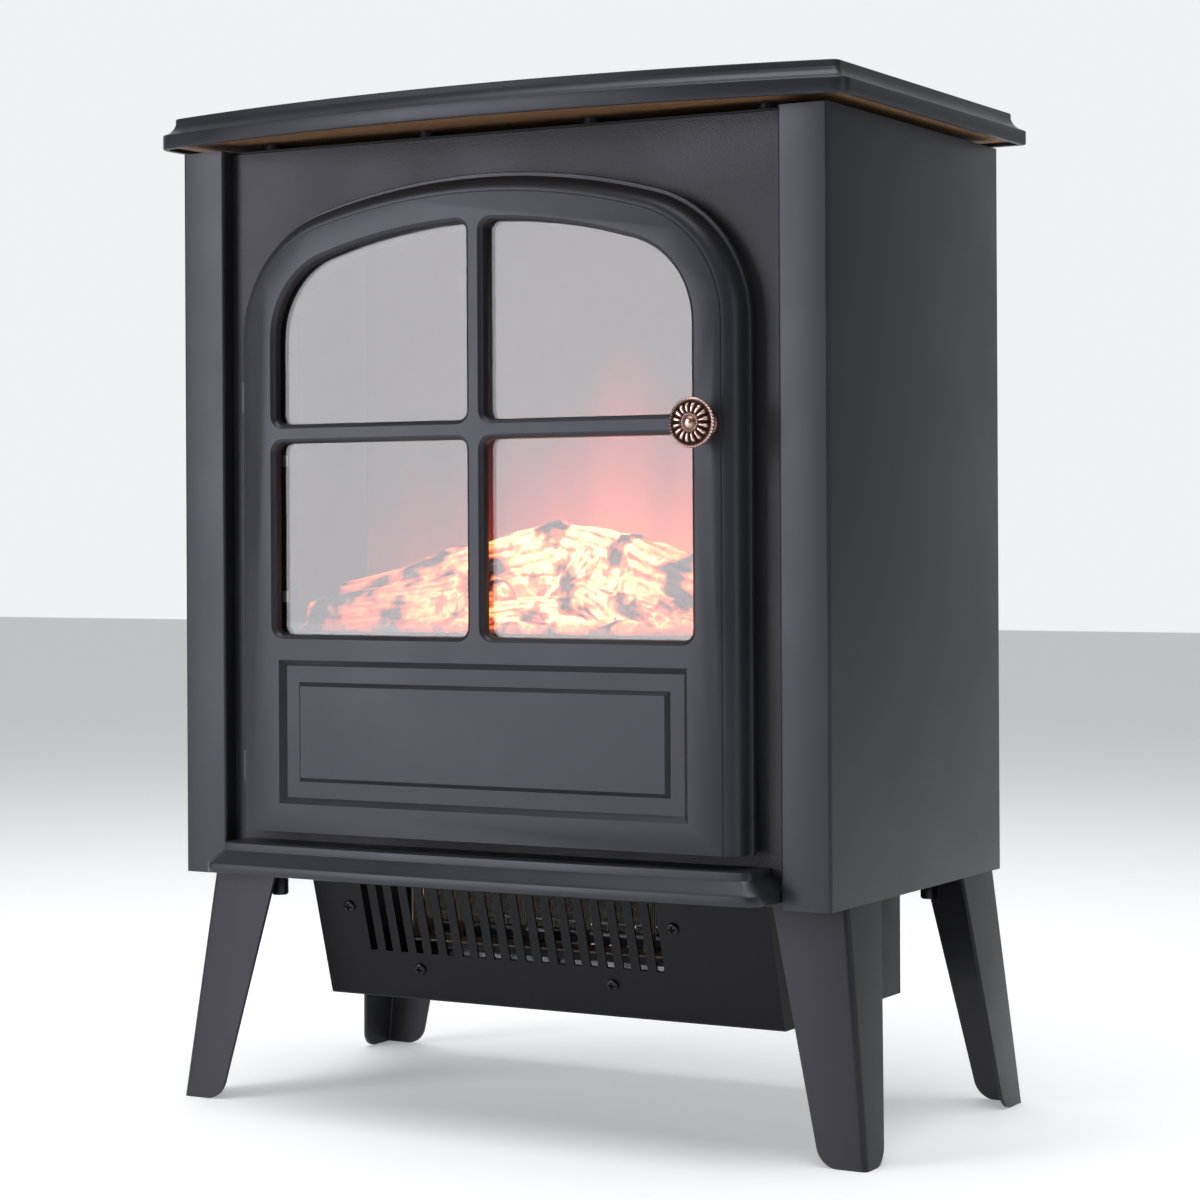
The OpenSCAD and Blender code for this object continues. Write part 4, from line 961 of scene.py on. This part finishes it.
def place_height(piece, pts, lift):
    """Writes lift to the height attribute of the vertices nearest to pts (a KD tree, as doubles were merged)."""
    from mathutils.kdtree import KDTree
    flat = (pts.reshape(-1, 3) + ORIGIN) * MM
    tree = KDTree(len(flat))
    for i, p in enumerate(flat):
        tree.insert(p, i)
    tree.balance()
    values = lift.reshape(-1)
    layer = piece.data.attributes.new("height", "FLOAT", "POINT")
    layer.data.foreach_set("value", [values[tree.find(v.co)[1]] for v in piece.data.vertices])


knob = knob_piece()
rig.replaces(knob, "door_knob")


# %% [markdown]
# ## Screw heads
#
# A pan head is a dome with a cross sunk into it. The cross is the smaller of
# |x| and |y|: where it is under half the slot's width the dome drops to the
# recess floor, and it drops only inside the recess radius.

# %% Screws
def pan_head(place, out, radius, tall, length, cross=True):
    """A screw with its head's underside at place, the head towards out, and a shank the other way."""
    out = np.array(out, float) / np.linalg.norm(out)
    side = np.cross(out, [1.0, 0, 0] if abs(out[0]) < 0.9 else [0, 1.0, 0])
    side /= np.linalg.norm(side)
    up = np.cross(out, side)
    r = np.array([radius * 0.44, radius * 0.44, radius, radius, 0.96, 0.88, 0.78,
                  0.66, 0.6, 0.5, 0.4, 0.3, 0.2, 0.1, 0.01])
    r[4:] *= radius
    dome = np.sqrt(np.clip(1 - (r[4:] / radius) ** 2, 0, 1)) * 0.6 * tall + 0.4 * tall
    h = np.concatenate([[-length, 0.0, 0.0, 0.35 * tall], dome])
    a = np.linspace(0, 2 * np.pi, 64, endpoint=False)
    R, A = np.meshgrid(r, a, indexing="ij")
    H = h[:, None] * np.ones_like(A)
    arm = np.minimum(np.abs(R * np.cos(A)), np.abs(R * np.sin(A))) < 0.13 * radius
    sunk = arm & (R < 0.62 * radius) & (np.arange(len(r))[:, None] >= 7)
    H = np.where(sunk & cross, np.minimum(H, 0.35 * tall), H)
    pts = (np.array(place, float) + R[..., None] * (np.cos(A)[..., None] * side + np.sin(A)[..., None] * up)
           + H[..., None] * out)
    return loft(pts)


def islands(name):
    """Boxes (low, high) in millimetres of the separate solids of a part, by walking its faces."""
    bm = bmesh.new()
    bm.from_mesh(frame["nodes"][name].data)
    bmesh.ops.remove_doubles(bm, verts=bm.verts, dist=2e-6)
    seen, boxes = set(), []
    for start in bm.verts:
        if start in seen:
            continue
        stack, group = [start], []
        seen.add(start)
        while stack:
            v = stack.pop()
            group.append(v.co)
            for e in v.link_edges:
                w = e.other_vert(v)
                if w not in seen:
                    seen.add(w)
                    stack.append(w)
        g = np.array(group) / MM - ORIGIN
        boxes.append((g.min(0), g.max(0)))
    bm.free()
    return boxes


def screw_set(name, out, radius, tall, length, body="body"):
    """Detailed screws for every solid of a screw node, their heads looking along out."""
    out = np.array(out, float) / np.linalg.norm(out)
    parts = []
    for lo, hi in islands(name):
        middle = (lo + hi) / 2
        reach = abs(np.dot(hi - lo, np.abs(out))) / 2
        seat = middle + out * (reach - tall)
        parts.append(pan_head(seat, out, radius, tall, length))
    piece = solid(name + "_surface", parts, body, SLOT_OF[name], sharp=40)
    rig.replaces(piece, name)
    return piece


rear = screw_set("rear_screws", (0, 1, 0), 2.9, 1.9, 6.0)
clip_screws = screw_set("clip_screws", (0, 1, 0), 2.6, 1.5, 5.0, "door")
lean = math.atan2(20, 70)
slope = (0, -math.cos(lean), -math.sin(lean))


def grille_set():
    """The grille's four screws, seated on the sloping front of the heater box."""
    parts = []
    for lo, hi in islands("grille_screws"):
        x, z = (lo[0] + hi[0]) / 2, (lo[2] + hi[2]) / 2
        front = 39.6 + (59.6 - 39.6) * -z / 70
        spot = np.array([x, front, z]) + np.array(slope) * 0.05
        parts.append(pan_head(spot, slope, 3.3, 1.9, 4.0))
    piece = solid("grille_screws_surface", parts, "body", "black_screw", sharp=40)
    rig.replaces(piece, "grille_screws")
    return piece


grille = grille_set()


# %% [markdown]
# ## The log bed
#
# A log is a tube whose radius is ruled by bark: ridges run along it and
# wander a little, so their phase depends on both the angle and the distance
# along. One slow wave bends the whole log. The coals are one height field,
# the sum of a few rotated cosine grids, taken to its absolute value so that
# lumps meet in creases.

# %% Logs and coals
def log_part(a, b, radius, seed):
    """One log from a to b with bark ridges and a broken end."""
    rng = np.random.default_rng(seed)
    a, b = np.array(a, float), np.array(b, float)
    long = np.linalg.norm(b - a)
    along = (b - a) / long
    side = np.cross(along, [0, 0, 1.0])
    side /= np.linalg.norm(side)
    up = np.cross(side, along)
    s = np.linspace(0, 1, 90)
    A = np.linspace(0, 2 * np.pi, 96, endpoint=False)
    S, T = np.meshgrid(s, A, indexing="ij")
    bark = np.zeros_like(S)
    for k in range(1, 9):
        turns = rng.integers(2, 9)
        bark += np.abs(np.sin(turns * T + rng.uniform(3, 16) * S * k / 3
                              + rng.uniform(0, 6))) * 0.55 / k ** 0.6
    bark = bark / bark.max()
    knots = sum(np.exp(-(((S - rng.uniform(0.1, 0.9)) / 0.05) ** 2)
                       - (1 - np.cos(T - rng.uniform(0, 6))) / 0.25) for _ in range(4))
    ends = np.sqrt(np.clip(np.minimum(s / 0.035, (1 - s) / 0.05), 0.02, 1))[:, None]
    R = radius * (0.84 + 0.24 * bark + 0.14 * knots) * ends
    lift = np.clip(bark * 1.15 + 0.3 * knots, 0, 1) * ends
    sway = 1.6 * np.sin(s * 5 + seed)[:, None]
    pts = (a + S[..., None] * (b - a)
           + R[..., None] * (np.cos(T)[..., None] * side + np.sin(T)[..., None] * up)
           + (sway * np.ones_like(T))[..., None] * up)
    return pts, lift


def coals(x0, x1, y0, y1, z0):
    """Height field over a rectangle, closed below by its own floor."""
    rng = np.random.default_rng(7)
    u, v = np.linspace(x0, x1, 260), np.linspace(y0, y1, 66)
    U, V = np.meshgrid(u, v, indexing="ij")
    lump = np.zeros_like(U)
    for k in range(7):
        turn = rng.uniform(0, np.pi)
        size = rng.uniform(5, 13)
        lump += np.abs(np.sin((U * math.cos(turn) + V * math.sin(turn)) / size + rng.uniform(0, 6)))
    edge = np.minimum(np.minimum(U - x0, x1 - U), np.minimum(V - y0, y1 - V))
    H = z0 + np.clip(edge / 1.5, 0, 1) * (3.5 + 2.1 * lump)
    top = np.stack([U, V, H], -1).reshape(-1, 3)
    n = len(top)
    low = top * [1, 1, 0] + [0, 0, z0 - 0.2]
    rows, cols = U.shape
    faces = grid_faces(rows, cols)
    rim = [i * cols for i in range(rows)] + [(rows - 1) * cols + j for j in range(1, cols)]
    rim += [i * cols + cols - 1 for i in range(rows - 2, -1, -1)] + [j for j in range(cols - 2, 0, -1)]
    m = len(rim)
    skirt = [(rim[i], rim[(i + 1) % m], n + (i + 1) % m, n + i) for i in range(m)]
    lift = np.clip((H - z0 - 3.5) / (2.1 * lump.max()), 0, 1)
    return (np.vstack([top, low[rim]]), faces + skirt + [tuple(range(n, n + m))]), top, lift


bed_lo, bed_hi = span("fuel_bed")
bed_lo, bed_hi = bed_lo - [0, FRONT, BASE], bed_hi - [0, FRONT, BASE]
FB = bed_lo[2]
LOGS = [
    ((-131, 30, FB + 13), (-34, 40, FB + 33), 8.5, 32), ((-130, 58, FB + 20), (-40, 62, FB + 44), 10, 35),
    ((-120, 44, FB + 20), (16, 66, 178), 12.5, 3), ((120, 46, FB + 30), (-2, 70, 177), 13, 5),
    ((-104, 72, FB + 22), (114, 67, FB + 38), 14, 8), ((-80, 34, FB + 14), (-12, 48, FB + 27), 9, 11),
    ((96, 33, FB + 15), (24, 46, FB + 29), 9, 14), ((-48, 30, FB + 12), (30, 40, FB + 20), 7, 17),
    ((10, 44, FB + 12), (34, 52, FB + 52), 8, 20), ((62, 36, FB + 12), (48, 54, FB + 50), 8, 23),
    ((-34, 38, FB + 14), (-52, 56, FB + 46), 8, 26), ((118, 30, FB + 12), (66, 34, FB + 20), 7, 29),
]
logs = [log_part(*entry) for entry in LOGS]
coal, coal_top, coal_lift = coals(bed_lo[0], bed_hi[0], bed_lo[1], bed_hi[1], FB + 0.3)
fire = solid("log_bed", [loft(pts) for pts, lift in logs] + [coal], "body", "embers", sharp=60)
place_height(fire, np.concatenate([pts.reshape(-1, 3) for pts, lift in logs] + [coal_top]),
             np.concatenate([lift.reshape(-1) for pts, lift in logs] + [coal_lift.reshape(-1)]))
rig.replaces(fire, "fuel_bed")


# %% [markdown]
# ## Heating wire
#
# The element is a wire laid to and fro over mica strips. Its centre line is a
# triangle wave with rounded turns; a small circle carried square to the
# line makes the wire.

# %% Wire
def zigzag(x0, x1, y, z0, z1, pitch, radius):
    """A wire of small radius whose centre line runs up and down between z0 and z1."""
    count = int((x1 - x0) / pitch)
    t = np.linspace(0, count * np.pi, count * 12 + 1)
    mid, half = (z0 + z1) / 2, (z1 - z0) / 2
    step = (t - 0.5 * np.sin(2 * t)) / np.pi
    line = np.column_stack([x0 + pitch * step, np.full(len(t), y),
                            mid + half * np.sin(np.pi / 2 * np.sin(t))])
    tangent = np.gradient(line, axis=0)
    tangent /= np.linalg.norm(tangent, axis=1)[:, None]
    deep = np.array([0, 1.0, 0])
    across = np.cross(tangent, deep)
    a = np.linspace(0, 2 * np.pi, 8, endpoint=False)
    rings = line[:, None] + radius * (np.cos(a)[None, :, None] * deep
                                      + np.sin(a)[None, :, None] * across[:, None])
    return loft(rings)


wire_lo, wire_hi = span("heating_wire")
wire_lo, wire_hi = wire_lo - [0, FRONT, BASE], wire_hi - [0, FRONT, BASE]
bars = [block((x, 67.4, -37.3), (x + 0.8, 68.6, -7.6)) for x in (wire_lo[0], wire_hi[0] - 0.8)]
coil = zigzag(wire_lo[0] + 0.8, wire_hi[0] - 0.8, 68, -26.5, -7.4, 1.15, 0.22)
element = solid("heating_wire_surface", [coil] + bars, "body", "wire", sharp=50)
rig.replaces(element, "heating_wire")


# %% [markdown]
# ## Paint the new pieces
#
# Each new piece takes the finish of its slot. The trim pieces, the door
# and the side sheets use the finer satin coat.

# %% Finishes on the new pieces
for piece in [o for o in bpy.context.scene.objects if o.type == "MESH" and "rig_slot" in o and not o.data.materials]:
    piece.data.materials.append(FINISH[piece["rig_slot"]])
for piece in sheets:
    piece.data.materials.clear()
    piece.data.materials.append(trim_coat)

mat, tree, bsdf = new_material("white_studio_floor")
floor_grain = noise_of(tree, 60, 3)
shade = ramp_of(tree, floor_grain.outputs["Fac"], [(0.3, (0.86, 0.87, 0.88)), (0.7, (0.88, 0.89, 0.90))])
tree.links.new(shade.outputs["Color"], bsdf.inputs["Base Color"])
bsdf.inputs["Roughness"].default_value = 0.7
bsdf.inputs["Emission Color"].default_value = (0.98, 0.99, 1.0, 1)
bsdf.inputs["Emission Strength"].default_value = 0.30
floor.data.materials.append(mat)

# %% [markdown]
# ## Measure and finish
#
# Last, the finished object's box is set beside the engineering model's box.

# %% Size
with open("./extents.json", "w") as out_file:
    json.dump({"cad": cad_box, "visual": [list(v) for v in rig.bounds()]}, out_file)
print(json.load(open("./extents.json")))
